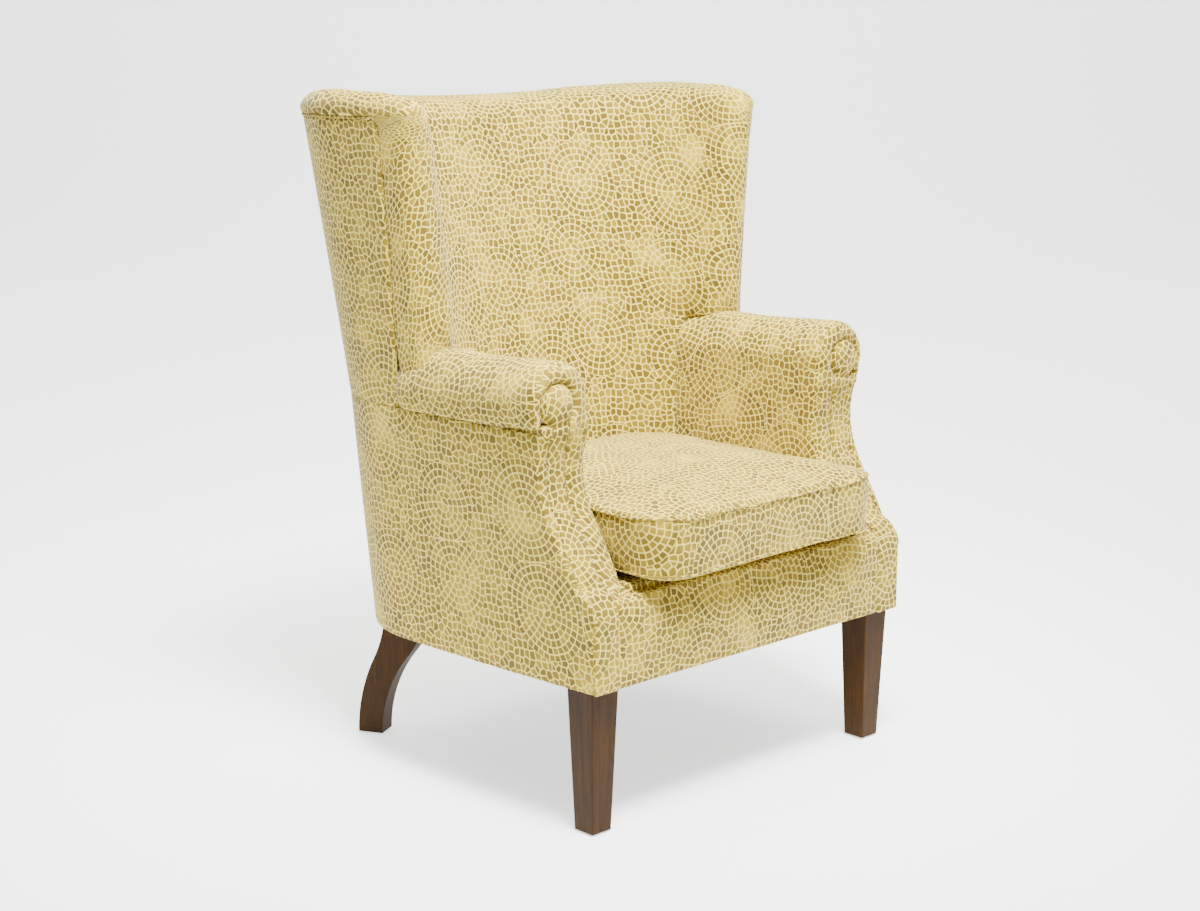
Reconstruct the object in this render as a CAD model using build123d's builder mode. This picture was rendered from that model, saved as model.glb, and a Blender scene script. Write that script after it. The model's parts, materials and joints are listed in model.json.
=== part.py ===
from build123d import *
import math
import os
from collections import namedtuple

# Upholstered wing armchair with scrolled arms, a curved tub back and a loose seat cushion.
# Millimetres. The floor is Z = 0, the chair faces -Y, X = 0 is its middle, left is -X.

# Main sizes
seat_width = 500.0  # between the inside arms
arm_width = 88.0  # from the inside arm to the outside arm, at the toe
side_bow = 17.0  # how far the outside arm bows out towards the rear
leg_height = 225.0  # floor to the underside of the upholstery
rail_height = 100.0  # depth of the seat rails
seat_lift = 39.0  # from the top of the seat rails to the top of the sprung deck
arm_rise = 459.5  # underside of the upholstery to the top of the arm roll, at its front
arm_fall = 15.0  # the roll falls by this much from its front to the wing
shoulder_rise = 401.0  # underside of the upholstery to the middle section of the outside form
back_rise = 837.0  # underside of the upholstery to the wing tops
crown_dip = 23.0  # the top edge dips by this much in the middle

# Plan positions along Y
toe_front = -355.0  # front of the arm toes
wing_front = -2.0  # front of the wing noses
nose_depth = 66.0  # wing nose to the seam of the outside wing
base_corner_y = 60.0  # centre of the rear corner at the base
shoulder_set_back = 59.0  # rake of the outside form at the shoulder height
crown_set_back = 122.0  # rake of the outside form at the top

# Outside form
corner_radius = 200.0
corner_sweep = 80.0  # degrees of the corner arc before the flatter rear arc
shoulder_spread = 1.0
crown_spread = 38.0  # how far the wings lean out at the top

# Inside form: the hollow that the sitter leans into
lap_spread, lap_corner_y, lap_radius = 6.0, 8.0, 105.0
rib_rise, rib_spread, rib_corner_y, rib_radius = 335.0, 26.0, -40.0, 205.0
wing_thickness, head_corner_y, head_radius = 62.0, 62.0, 235.0
hollow_mouth = 6.0  # flare of the hollow at its open front
soft_edge = 28.0  # rounding of the wing noses and the top roll
upright_rise = 0.8  # an edge that climbs more steeply than this counts as upright

# Upholstery
panel_thickness = 5.0  # outside panels: cover, wadding and card
pad_thickness = 35.0  # foam of the inside back and wings
roll_cover = 47.0  # height of the top roll above the outside panels
facing_thickness = 8.0
facing_lap = 0.7  # facing's inner edge beyond the arm post
border_thickness = 22.0
border_setback = 2.0
border_height = 127.0
border_rounding = 16.0
deck_gap = 4.0  # between the deck and the inside back
back_hang = 20.0  # inside back's lower edge above the seat rails
panel_seam_rise = 358.0  # to the seam between the outside arm and the outside wing
back_panel_half = 225.0
fit = 0.3  # clearance between covered pieces
overrun = 5.0  # how far cutting shapes run past the piece they cut

# Scrolled arm
roll_radius = 57.5
slab_thickness = 32.0
scroll_offset = 7.5  # scroll centre outwards from the roll centre
scroll_drop = 5.0  # scroll centre below the roll centre
scroll_radius = 31.0
scroll_play = 0.9  # between the facing's head and the curl of the arm
scroll_flat = 7.0  # flat on the underside of the scroll's core
scroll_set_back = 101.0  # arm front behind the toe, at the scroll
waist_set_back = 112.0  # and at the waist
waist_top_rise, waist_middle_rise, waist_bottom_rise = 358.0, 308.0, 240.0
waist_lead = 15.0  # the waist's lower end in front of its middle
knee_set_back, knee_top_rise = 37.0, 144.0
knee_bulge_set_back, knee_bulge_rise = 11.5, 127.0  # the middle of the rounded knee
knee_bottom_rise = 93.0
neck_inner, neck_outer = 20.0, 14.0  # facing's waist each side of the scroll centre
roll_opening_drop = 18.0  # the roll's open underside below the scroll centre

# Frame timber
rail_thickness = 28.0
rail_setting = 3.0  # back rail inside the outside panels
side_rail_thickness = 24.0
side_rail_inset = 57.0  # inner face of the side rails inside the base's widest line
back_rail_start = 110.0
post_thickness = 36.0
post_offset = 4.5  # arm post outwards from the middle of its leg
post_foot_depth = 60.0
post_waist_depth = 38.0
block_chord_front, block_chord_rear = 26.0, 160.0
block_reach = 148.0
front_block_size = 62.0
back_post_width, back_post_depth = 34.0, 44.0
back_post_foot = (99.0, 108.0)  # in from the widest line, behind the corner centre
back_post_head = (101.0, 96.0)
wing_post_width, wing_post_depth = 20.0, 40.0
wing_post_head_inset = 27.0
wing_rail_inset = 3.0  # front end of the wing rail inside the post's middle
post_top_drop = 72.0  # top of the posts below the top of the back
top_rail_height = 35.0
top_rail_bow = 65.0
tack_rail_height, tack_rail_thickness, tack_rail_lift = 40.0, 18.0, 70.0
tack_rail_set_back = 4.0  # front of the tack rail behind the middle of the back posts

# Legs
front_leg_top, front_leg_foot = 53.0, 38.0
front_leg_inset = 32.5  # leg centre inside the toe's outer face
front_leg_set_back = 42.0  # leg centre behind the toe's front
leg_edge = 1.5
rear_foot_x, rear_foot_y = 289.0, 269.0  # outer rear corner of the rear foot
rear_leg_turn = 28.4  # degrees that the rear legs are turned outwards
rear_leg_thickness = 38.6
rear_foot_depth = 42.6
sabre_back_bend = (30.0, 132.0)  # where the rear edge changes its curve
sabre_front_bend = (91.0, 140.0)
sabre_top = (51.0, 120.0)
sabre_bolt = 97.0  # bolt in front of the leg's rear corner
glide_radius, glide_height = 10.0, 3.0
bolt_radius, bolt_in_leg, bolt_in_frame, bolt_clearance = 4.0, 50.0, 60.0, 0.2

# Suspension
spring_places = (-165.0, -55.0, 55.0, 165.0)
spring_wire = 3.6
spring_runs = 14
spring_run_width = 34.0
spring_play = 0.2  # clearance of the wire in its clips
spring_front_set = 14.0
spring_rear_set = 22.0  # spring ends in front of the back rail's outer line
clip_width, clip_length, clip_plate = 20.0, 14.0, 1.2
hessian_thickness = 1.2
webbing_places = (-150.0, -50.0, 50.0, 150.0)
webbing_width, webbing_thickness = 50.0, 1.5
dust_cover_thickness, dust_cover_inset = 1.0, 12.0

# Loose seat cushion
cushion_gap = 1.5  # to each inside arm
cushion_overhang = 42.0  # in front of the toes
cushion_rear = 119.0
cushion_rest = 0.6  # clearance under the cushion
cushion_rake = 10.0  # the rear edge leans back from bottom seam to top seam
cushion_boxing = 78.0
cushion_belly = 14.0  # underside crown
cushion_crown = 33.0
cushion_draw = 3.0  # how far its sides pull in between the corners
cushion_front_corner, cushion_rear_corner = 60.0, 125.0
cushion_skin = 2.0
belly_inset, crown_inset = 60.0, 125.0  # plan drawn in at the lowest and highest rings
cushion_rings = 6  # steps of each rounded side

# Derived places
seat_half = seat_width / 2
toe_half = seat_half + arm_width
base_half = toe_half + side_bow
crown_half = base_half + crown_spread
arm_height = leg_height + arm_rise
shoulder_height = leg_height + shoulder_rise
back_height = leg_height + back_rise
rib_height = leg_height + rib_rise
panel_seam_height = leg_height + panel_seam_rise
waist_top = leg_height + waist_top_rise
waist_middle = leg_height + waist_middle_rise
waist_bottom = leg_height + waist_bottom_rise
knee_top = leg_height + knee_top_rise
knee_bulge = leg_height + knee_bulge_rise
knee_bottom = leg_height + knee_bottom_rise
rail_top = leg_height + rail_height
deck_top = rail_top + seat_lift
back_bottom = rail_top + back_hang
arm_bottom = leg_height + border_height + fit
arm_rear = wing_front + nose_depth
roll_x = seat_half + roll_radius
roll_z = arm_height - roll_radius
scroll_x = roll_x + scroll_offset
scroll_z = roll_z - scroll_drop
scroll_y = toe_front + scroll_set_back
waist_y = toe_front + waist_set_back
arm_slope = arm_fall / (arm_rear - scroll_y)
arm_run = Vector(0, -1, arm_slope)  # along the roll, towards the front
wing_bottom = arm_height - arm_slope * (wing_front - scroll_y) + fit
panel_top = back_height - roll_cover
post_top = back_height - post_top_drop
far = 2 * back_height  # longer than anything in the chair
sides = (("left", -1), ("right", 1))

Plan = namedtuple("Plan", "z half corner_y radius")
crown_corner_y = base_corner_y + crown_set_back
base_plan = Plan(leg_height, base_half, base_corner_y, corner_radius)
outside_plans = (
    base_plan,
    Plan(shoulder_height, base_half + shoulder_spread, base_corner_y + shoulder_set_back, corner_radius),
    Plan(back_height, crown_half, crown_corner_y, corner_radius),
)
lap_plan = Plan(back_bottom - overrun, seat_half + lap_spread, lap_corner_y, lap_radius)
hollow_plans = (
    lap_plan,
    Plan(rib_height, seat_half + rib_spread, rib_corner_y, rib_radius),
    Plan(back_height + overrun, crown_half - wing_thickness, head_corner_y, head_radius),
)
os.makedirs("parts", exist_ok=True)


def save(part, name):
    part.label = name
    export_step(part, f"parts/{name}.step")


# A tub's plan at one height: bowed sides, round rear corners and a flatter rear arc
def tub_plan(plan, front_half, front_y, grow=0.0):
    radius = plan.radius + grow
    centre = Vector(plan.half - plan.radius, plan.corner_y)
    lean = math.radians(corner_sweep)
    rear_y = centre.Y + radius + centre.X * (1 - math.sin(lean)) / math.cos(lean)
    front = (front_half + grow, front_y)
    with BuildSketch(Plane.XY.offset(plan.z)) as face:
        with BuildLine():
            TangentArc((plan.half + grow, plan.corner_y), front, tangent=(0, -1))
            corner = CenterArc(centre, radius, 0, corner_sweep)
            TangentArc(corner @ 1, (0, rear_y), tangent=corner % 1)
            Line(front, (0, front_y))
            mirror(about=Plane.YZ)
        make_face()
    return face.sketch


def outside_plan(plan, grow=0.0):
    return tub_plan(plan, toe_half, toe_front, grow)


def hollow_plan(plan, grow=0.0):
    return tub_plan(plan, plan.half + hollow_mouth, toe_front - cushion_overhang, grow)


def outside_form(grow=0.0):
    with BuildPart() as form:
        loft(sections=[outside_plan(plan, grow) for plan in outside_plans])
    return form.part


def hollow_form(grow=0.0):
    with BuildPart() as form:
        loft(sections=[hollow_plan(plan, grow) for plan in hollow_plans])
    return form.part


# Side view of the arm's front: scroll, waist, sloping knee and plumb toe, moved back by shift
def arm_front(shift):
    with BuildLine() as line:
        scroll = Line((scroll_y + shift, back_height), (scroll_y + shift, waist_top))
        waist = ThreePointArc(
            scroll @ 1,
            (waist_y + shift, waist_middle),
            (waist_y - waist_lead + shift, waist_bottom),
        )
        slope = Line(waist @ 1, (toe_front + knee_set_back + shift, knee_top))
        knee = ThreePointArc(
            slope @ 1,
            (toe_front + knee_bulge_set_back + shift, knee_bulge),
            (toe_front + shift, knee_bottom),
        )
        Line(knee @ 1, (toe_front + shift, leg_height))
    return line.line


# Everything behind the arm's front line, as a slab across the whole chair
def behind_arm_front(shift):
    with BuildPart() as slab:
        with BuildSketch(Plane.YZ):
            with BuildLine():
                add(arm_front(shift))
                Polyline(
                    (scroll_y + shift, back_height),
                    (far, back_height),
                    (far, leg_height),
                    (toe_front + shift, leg_height),
                )
            make_face()
        extrude(amount=far, both=True)
    return slab.part


outside = outside_form()
outside_lining = outside_form(-panel_thickness)
frame_limit = outside_form(-panel_thickness - fit)
hollow = hollow_form()
hollow_backing = hollow_form(pad_thickness)

# Rear leg: a sabre profile in its own plane, turned outwards at the rear corner
turn_sin = math.sin(math.radians(rear_leg_turn))
turn_cos = math.cos(math.radians(rear_leg_turn))
rear_legs = {}
for side, sign in sides:
    leg_plane = Plane(
        origin=(sign * rear_foot_x, rear_foot_y, 0),
        x_dir=(-sign * turn_sin, -turn_cos, 0),
        z_dir=(-turn_cos, sign * turn_sin, 0),
    )
    with BuildPart() as rear_leg:
        with BuildSketch(leg_plane):
            with BuildLine():
                heel = TangentArc((0, glide_height), sabre_back_bend, tangent=(0, 1))
                TangentArc(heel @ 1, (sabre_top[0], leg_height), tangent=heel % 1)
                shin = TangentArc((rear_foot_depth, glide_height), sabre_front_bend, tangent=(0, 1))
                TangentArc(shin @ 1, (sabre_top[1], leg_height), tangent=shin % 1)
                Line((sabre_top[0], leg_height), (sabre_top[1], leg_height))
                Line((0, glide_height), (rear_foot_depth, glide_height))
            make_face()
        extrude(amount=sign * rear_leg_thickness)
        bolt_place = leg_plane.from_local_coords(
            (sabre_bolt, leg_height, sign * rear_leg_thickness / 2)
        )
        with Locations(bolt_place):
            Hole(bolt_radius + bolt_clearance, depth=bolt_in_leg)
    rear_legs[side] = rear_leg.part
    save(rear_leg.part, f"rear_leg_{side}")

# Front leg: square and evenly tapered
front_leg_x = toe_half - front_leg_inset
front_leg_y = toe_front + front_leg_set_back
front_legs = {}
for side, sign in sides:
    with BuildPart() as front_leg:
        with BuildSketch(Plane((sign * front_leg_x, front_leg_y, glide_height))):
            Rectangle(front_leg_foot, front_leg_foot)
        with BuildSketch(Plane((sign * front_leg_x, front_leg_y, leg_height))):
            Rectangle(front_leg_top, front_leg_top)
        loft(ruled=True)
        fillet(front_leg.edges().filter_by(lambda edge: edge.length > rail_height), leg_edge)
        with Locations((sign * front_leg_x, front_leg_y, leg_height)):
            Hole(bolt_radius + bolt_clearance, depth=bolt_in_leg)
    front_legs[side] = front_leg.part
    save(front_leg.part, f"front_leg_{side}")

# Bolts that hold the legs to the frame, and the glides under the feet
rear_bolt_x = rear_foot_x - turn_sin * sabre_bolt - turn_cos * rear_leg_thickness / 2
rear_bolt_y = rear_foot_y - turn_cos * sabre_bolt + turn_sin * rear_leg_thickness / 2
rear_glide_x = rear_foot_x - turn_sin * rear_foot_depth / 2 - turn_cos * rear_leg_thickness / 2
rear_glide_y = rear_foot_y - turn_cos * rear_foot_depth / 2 + turn_sin * rear_leg_thickness / 2
upwards = (Align.CENTER, Align.CENTER, Align.MIN)
with BuildPart() as leg_bolts:
    for side, sign in sides:
        with Locations(
            (sign * front_leg_x, front_leg_y, leg_height - bolt_in_leg),
            (sign * rear_bolt_x, rear_bolt_y, leg_height - bolt_in_leg),
        ):
            Cylinder(bolt_radius, bolt_in_leg + bolt_in_frame, align=upwards)
save(leg_bolts.part, "leg_bolts")

with BuildPart() as foot_glides:
    for side, sign in sides:
        with Locations((sign * front_leg_x, front_leg_y), (sign * rear_glide_x, rear_glide_y)):
            Cylinder(glide_radius, glide_height, align=upwards)
save(foot_glides.part, "foot_glides")

# Seat frame
post_inner_x = front_leg_x - post_thickness / 2 + post_offset
post_front = toe_front + facing_thickness + fit
front_rail_front = toe_front + border_setback + border_thickness
front_rail_rear = front_rail_front + rail_thickness
side_rail_outer = base_half - side_rail_inset + side_rail_thickness
side_rail_inner = base_half - side_rail_inset
post_rear = post_front + post_foot_depth

with BuildPart() as front_rail:
    with Locations((0, front_rail_front, leg_height)):
        Box(2 * post_inner_x, rail_thickness, rail_height, align=(Align.CENTER, Align.MIN, Align.MIN))
save(front_rail.part, "front_rail")

for side, sign in sides:
    with BuildPart() as side_rail:
        with Locations((sign * (side_rail_inner + side_rail_outer) / 2, post_rear, leg_height)):
            Box(
                side_rail_thickness,
                back_rail_start - post_rear,
                rail_height,
                align=(Align.CENTER, Align.MIN, Align.MIN),
            )
    save(side_rail.part, f"side_rail_{side}")

# Back rail, sawn to the curve of the base
rail_outer_grow = -panel_thickness - rail_setting
rail_inner_grow = rail_outer_grow - rail_thickness
with BuildPart() as back_rail:
    extrude(outside_plan(base_plan, rail_outer_grow), amount=rail_height)
    extrude(outside_plan(base_plan, rail_inner_grow), amount=rail_height, mode=Mode.SUBTRACT)
    with Locations((0, back_rail_start, leg_height)):
        Box(far, far, rail_height, align=(Align.CENTER, Align.MIN, Align.MIN), mode=Mode.INTERSECT)
save(back_rail.part, "back_rail")

# Corner blocks: the rear ones fill the curve above the legs and carry the back posts
for side, sign in sides:
    with BuildPart() as rear_block:
        with BuildSketch(Plane.XY.offset(leg_height)):
            with BuildLine():
                Polyline(
                    (sign * side_rail_inner, base_corner_y + block_chord_front),
                    (sign * side_rail_inner, base_corner_y + corner_radius),
                    (sign * (side_rail_inner - block_reach), base_corner_y + corner_radius),
                    (sign * (side_rail_inner - block_reach), base_corner_y + block_chord_rear),
                    close=True,
                )
            make_face()
        extrude(amount=rail_height)
        extrude(outside_plan(base_plan, rail_inner_grow), amount=rail_height, mode=Mode.INTERSECT)
        with Locations((sign * rear_bolt_x, rear_bolt_y, leg_height)):
            Cylinder(
                bolt_radius + bolt_clearance,
                bolt_in_frame + fit,
                align=upwards,
                mode=Mode.SUBTRACT,
            )
    save(rear_block.part, f"rear_block_{side}")

    with BuildPart() as front_block:
        with BuildSketch(Plane.XY.offset(leg_height)):
            with BuildLine():
                Polyline(
                    (sign * post_inner_x, front_rail_rear),
                    (sign * (post_inner_x - front_block_size), front_rail_rear),
                    (sign * post_inner_x, front_rail_rear + front_block_size),
                    close=True,
                )
            make_face()
        extrude(amount=rail_height)
    save(front_block.part, f"front_block_{side}")

# Arm rails: round cores of the rolls, flat underneath where they sit on the arm posts
roll_length = (arm_rear - toe_front) * arm_run.length
arm_rails = {}
for side, sign in sides:
    with BuildPart() as arm_rail:
        with BuildSketch(Plane.XZ.offset(-arm_rear)):
            with Locations((sign * scroll_x, scroll_z - arm_fall)):
                Circle(scroll_radius + scroll_play - fit)
            with Locations((sign * scroll_x, scroll_z - arm_fall - scroll_radius + scroll_flat)):
                Rectangle(far, far, align=(Align.CENTER, Align.MIN), mode=Mode.INTERSECT)
        extrude(amount=roll_length, dir=arm_run)
        add(behind_arm_front(facing_thickness + fit), mode=Mode.INTERSECT)
    arm_rails[side] = arm_rail.part
    save(arm_rail.part, f"arm_rail_{side}")

# Arm posts follow the shaped arm front behind its facing, up to the arm rails
for side, sign in sides:
    with BuildPart() as arm_post:
        with BuildSketch(Plane.YZ.offset(sign * post_inner_x)):
            with BuildLine():
                Polyline(
                    (toe_front, leg_height),
                    (post_rear, leg_height),
                    (post_rear, rail_top),
                    (waist_y + post_waist_depth, waist_bottom),
                    (waist_y + post_waist_depth, scroll_z - scroll_radius + scroll_flat + fit),
                    (toe_front, scroll_z - scroll_radius + scroll_flat + fit),
                    close=True,
                )
            make_face()
        extrude(amount=sign * post_thickness)
        add(behind_arm_front(facing_thickness + fit), mode=Mode.INTERSECT)
        add(arm_rails[side], mode=Mode.SUBTRACT)
        with Locations((sign * front_leg_x, front_leg_y, leg_height)):
            Cylinder(
                bolt_radius + bolt_clearance,
                bolt_in_frame + fit,
                align=upwards,
                mode=Mode.SUBTRACT,
            )
    save(arm_post.part, f"arm_post_{side}")

# Back posts stand on the rear corner blocks and lean with the rake
post_height = post_top - rail_top
back_post_foot_x = base_half - back_post_foot[0]
back_post_foot_y = base_corner_y + back_post_foot[1]
back_post_head_x = crown_half - back_post_head[0]
back_post_head_y = crown_corner_y + back_post_head[1]
back_posts = {}
for side, sign in sides:
    with BuildPart() as back_post:
        with BuildSketch(Plane((sign * back_post_foot_x, back_post_foot_y, rail_top))):
            Rectangle(back_post_width, back_post_depth)
        with BuildSketch(Plane((sign * back_post_head_x, back_post_head_y, post_top))):
            Rectangle(back_post_width, back_post_depth)
        loft(ruled=True)
    back_posts[side] = back_post.part
    save(back_post.part, f"back_post_{side}")

# Wing posts rise from the side rails to the wing tops
wing_post_y = arm_rear + wing_post_depth / 2
wing_post_foot_x = (side_rail_inner + side_rail_outer) / 2
wing_post_head_x = crown_half - wing_post_head_inset
wing_posts = {}
for side, sign in sides:
    with BuildPart() as wing_post:
        with BuildSketch(Plane((sign * wing_post_foot_x, wing_post_y, rail_top))):
            Rectangle(wing_post_width, wing_post_depth)
        with BuildSketch(Plane((sign * wing_post_head_x, wing_post_y, post_top))):
            Rectangle(wing_post_width, wing_post_depth)
        loft(ruled=True)
        add(frame_limit, mode=Mode.INTERSECT)
    wing_posts[side] = wing_post.part
    save(wing_post.part, f"wing_post_{side}")

# Wing rails tie each wing post to its back post under the top roll
wing_rail_front = Vector(wing_post_head_x - wing_rail_inset, wing_post_y + wing_post_depth / 2)
wing_rail_rear = Vector(back_post_head_x, back_post_head_y - back_post_depth / 2)
wing_rail_run = wing_rail_rear - wing_rail_front
for side, sign in sides:
    with BuildPart() as wing_rail:
        middle = (wing_rail_front + wing_rail_rear) / 2
        with BuildSketch(Plane((sign * middle.X, middle.Y, post_top - top_rail_height))):
            angle = math.degrees(math.atan2(wing_rail_run.Y, sign * wing_rail_run.X))
            Rectangle(wing_rail_run.length + wing_post_width / 2, wing_post_width, rotation=angle)
        extrude(amount=top_rail_height)
        add(frame_limit, mode=Mode.INTERSECT)
        add(wing_posts[side], mode=Mode.SUBTRACT)
        add(back_posts[side], mode=Mode.SUBTRACT)
    save(wing_rail.part, f"wing_rail_{side}")

# Top rail, bowed to the tub, and the straight tack rail above the seat
top_rail_radius = (back_post_head_x**2 + top_rail_bow**2) / (2 * top_rail_bow)
top_rail_centre_y = back_post_head_y + top_rail_bow - top_rail_radius
with BuildPart() as top_rail:
    with BuildSketch(Plane((0, top_rail_centre_y, post_top - top_rail_height))):
        Circle(top_rail_radius + rail_thickness / 2)
        Circle(top_rail_radius - rail_thickness / 2, mode=Mode.SUBTRACT)
        Rectangle(
            2 * back_post_head_x,
            far,
            align=(Align.CENTER, Align.MIN),
            mode=Mode.INTERSECT,
        )
    extrude(amount=top_rail_height)
    for side, sign in sides:
        add(back_posts[side], mode=Mode.SUBTRACT)
save(top_rail.part, "top_rail")

tack_share = tack_rail_lift / post_height
tack_post_y = back_post_foot_y + tack_share * (back_post_head_y - back_post_foot_y)
tack_rail_front = tack_post_y + tack_rail_set_back
with BuildPart() as tack_rail:
    with Locations((0, tack_rail_front, rail_top + tack_rail_lift)):
        Box(
            2 * back_post_foot_x,
            tack_rail_thickness,
            tack_rail_height,
            align=(Align.CENTER, Align.MIN, Align.MIN),
        )
    for side, sign in sides:
        add(back_posts[side], mode=Mode.SUBTRACT)
save(tack_rail.part, "tack_rail")

# Upright webbing between tack rail and top rail, behind the inside back
with BuildPart() as back_webbing:
    for place in webbing_places:
        edge_place = abs(place) + webbing_width / 2
        top_y = top_rail_centre_y + math.sqrt((top_rail_radius - rail_thickness / 2) ** 2 - edge_place**2)
        foot = (tack_rail_front, rail_top + tack_rail_lift + tack_rail_height)
        head = (top_y, post_top - top_rail_height)
        with BuildSketch(Plane.YZ.offset(place - webbing_width / 2)):
            with BuildLine():
                Polyline(
                    foot,
                    head,
                    (head[0] - webbing_thickness, head[1]),
                    (foot[0] - webbing_thickness, foot[1]),
                    close=True,
                )
            make_face()
        extrude(amount=webbing_width)
save(back_webbing.part, "back_webbing")

# Serpentine seat springs: cross runs joined by half turns, held by clips on the rails
wire_radius = spring_wire / 2
spring_z = rail_top + clip_plate + wire_radius + spring_play
spring_start = front_rail_front + spring_front_set
rail_rear_y = base_corner_y + corner_radius
spring_end = rail_rear_y - spring_rear_set + rail_outer_grow
spring_pitch = (spring_end - spring_start) / (spring_runs - 1)
with BuildPart() as seat_springs:
    for place in spring_places:
        with BuildLine(Plane.XY.offset(spring_z)) as wire:
            for run in range(spring_runs):
                heading = 1 if run % 2 == 0 else -1
                run_y = spring_start + run * spring_pitch
                near = place - heading * spring_run_width / 2
                off = place + heading * spring_run_width / 2
                Line((near, run_y), (off, run_y))
                if run < spring_runs - 1:
                    ThreePointArc(
                        (off, run_y),
                        (off + heading * spring_pitch / 2, run_y + spring_pitch / 2),
                        (off, run_y + spring_pitch),
                    )
        with BuildSketch(Plane(origin=wire.line @ 0, z_dir=wire.line % 0)):
            Circle(wire_radius)
        sweep(path=wire.line)
save(seat_springs.part, "seat_springs")

clip_height = clip_plate + spring_wire + 2 * spring_play
with BuildPart() as spring_clips:
    for place in spring_places:
        for clip_y, opening in ((spring_start, 1), (spring_end, -1)):
            with BuildSketch(Plane.YZ.offset(place - clip_width / 2)):
                with Locations((clip_y, rail_top)):
                    Rectangle(clip_length, clip_height, align=(Align.CENTER, Align.MIN))
                with Locations((clip_y + opening * clip_plate, rail_top + clip_plate)):
                    Rectangle(
                        clip_length,
                        clip_height - 2 * clip_plate + spring_wire,
                        align=(Align.CENTER, Align.MIN),
                        mode=Mode.SUBTRACT,
                    )
            extrude(amount=clip_width)
save(spring_clips.part, "spring_clips")

# Hessian over the springs, then the padded deck
hessian_z = spring_z + wire_radius + fit
with BuildPart() as seat_hessian:
    extrude(
        hollow_plan(Plan(hessian_z, *lap_plan[1:]), -deck_gap),
        amount=hessian_thickness,
    )
    with Locations((0, front_rail_front, hessian_z)):
        Box(
            seat_width - 2 * fit,
            far,
            hessian_thickness,
            align=(Align.CENTER, Align.MIN, Align.MIN),
            mode=Mode.INTERSECT,
        )
save(seat_hessian.part, "seat_hessian")

deck_bottom = hessian_z + hessian_thickness + fit
with BuildPart() as seat_deck:
    extrude(hollow_plan(Plan(deck_bottom, *lap_plan[1:]), -deck_gap), amount=deck_top - deck_bottom)
    with Locations((0, front_rail_front + fit, deck_bottom)):
        Box(
            seat_width - 2 * fit,
            far,
            deck_top - deck_bottom,
            align=(Align.CENTER, Align.MIN, Align.MIN),
            mode=Mode.INTERSECT,
        )
save(seat_deck.part, "seat_deck")

# Inside back and wings: one padded tub, rolled over the top and round the wing noses
with BuildPart() as frame_bay:
    add(outside_form(overrun))
    add(hollow_backing, mode=Mode.SUBTRACT)
    with Locations((0, arm_rear, back_bottom - overrun)):
        Box(
            far,
            far,
            panel_top - back_bottom + overrun,
            align=(Align.CENTER, Align.MIN, Align.MIN),
            mode=Mode.INTERSECT,
        )

with BuildPart() as inside_back:
    add(outside)
    add(hollow, mode=Mode.SUBTRACT)
    with BuildSketch(Plane.YZ):
        with BuildLine():
            Polyline(
                (arm_rear + fit, back_bottom),
                (arm_rear + fit, wing_bottom),
                (wing_front, wing_bottom),
                (wing_front, far),
                (far, far),
                (far, back_bottom),
                close=True,
            )
        make_face()
    extrude(amount=far, both=True, mode=Mode.INTERSECT)
    with BuildSketch(Plane.XZ):
        with BuildLine():
            rim = ThreePointArc(
                (-crown_half, back_height),
                (0, back_height - crown_dip),
                (crown_half, back_height),
            )
            Polyline(rim @ 1, (crown_half, leg_height), (-crown_half, leg_height), rim @ 0)
        make_face()
    extrude(amount=far, both=True, mode=Mode.INTERSECT)
    noses = inside_back.faces().filter_by(Axis.Y).sort_by(Axis.Y)[:2]
    crown = inside_back.faces().sort_by(Axis.Z)[-1]
    upright = noses.edges().filter_by(lambda edge: abs(edge.tangent_at(0.5).Z) > upright_rise)
    fillet(upright + crown.edges(), soft_edge)
    add(frame_bay.part, mode=Mode.SUBTRACT)
save(inside_back.part, "inside_back")


# Outside panels: thin covered sheets on the outside form
def outside_panel(x_range, y_start, z_range):
    with BuildPart() as panel:
        add(outside)
        add(outside_lining, mode=Mode.SUBTRACT)
        with Locations((sum(x_range) / 2, y_start, z_range[0])):
            Box(
                x_range[1] - x_range[0],
                far,
                z_range[1] - z_range[0],
                align=(Align.CENTER, Align.MIN, Align.MIN),
                mode=Mode.INTERSECT,
            )
    return panel.part


save(
    outside_panel((-back_panel_half, back_panel_half), base_corner_y, (leg_height, panel_top - fit)),
    "outside_back",
)
for side, sign in sides:
    x_range = sorted((sign * (back_panel_half + fit), sign * far))
    save(
        outside_panel(x_range, arm_rear + fit, (panel_seam_height, panel_top - fit)),
        f"outside_wing_{side}",
    )

# Front edges of the arm facing: broad toe, slim waist and the neck below the scrolled head
facing_inner = post_inner_x - facing_lap
facing_rise = (leg_height, knee_bottom, waist_middle, scroll_z)
neck_in = scroll_x - neck_inner
neck_out = scroll_x + neck_outer
inner_edge = list(zip((facing_inner, facing_inner, neck_in, neck_in), facing_rise))
outer_edge = list(zip((toe_half, toe_half, neck_out, neck_out), facing_rise))


def moved(edge, step):
    return [(x + step, z) for x, z in edge]


# A front-view outline bent along the arm's front line, from lead before it to depth behind it
def on_arm_front(outline, sign, lead, depth, head=0.0):
    with BuildPart() as strip:
        with BuildSketch(Plane.XZ):
            with BuildLine():
                Polyline(*[(sign * x, z) for x, z in outline], close=True)
            make_face()
            if head:
                with Locations((sign * scroll_x, scroll_z)):
                    Circle(head)
        extrude(amount=far, both=True)
        add(behind_arm_front(-lead), mode=Mode.INTERSECT)
        add(behind_arm_front(depth), mode=Mode.SUBTRACT)
    return strip.part


def facing_form(sign, lead, play):
    outline = moved(inner_edge, -play) + moved(outer_edge, play)[::-1]
    return on_arm_front(outline, sign, lead, facing_thickness + play, scroll_radius + play)


for side, sign in sides:
    save(facing_form(sign, 0.0, 0.0), f"arm_facing_{side}")

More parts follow.
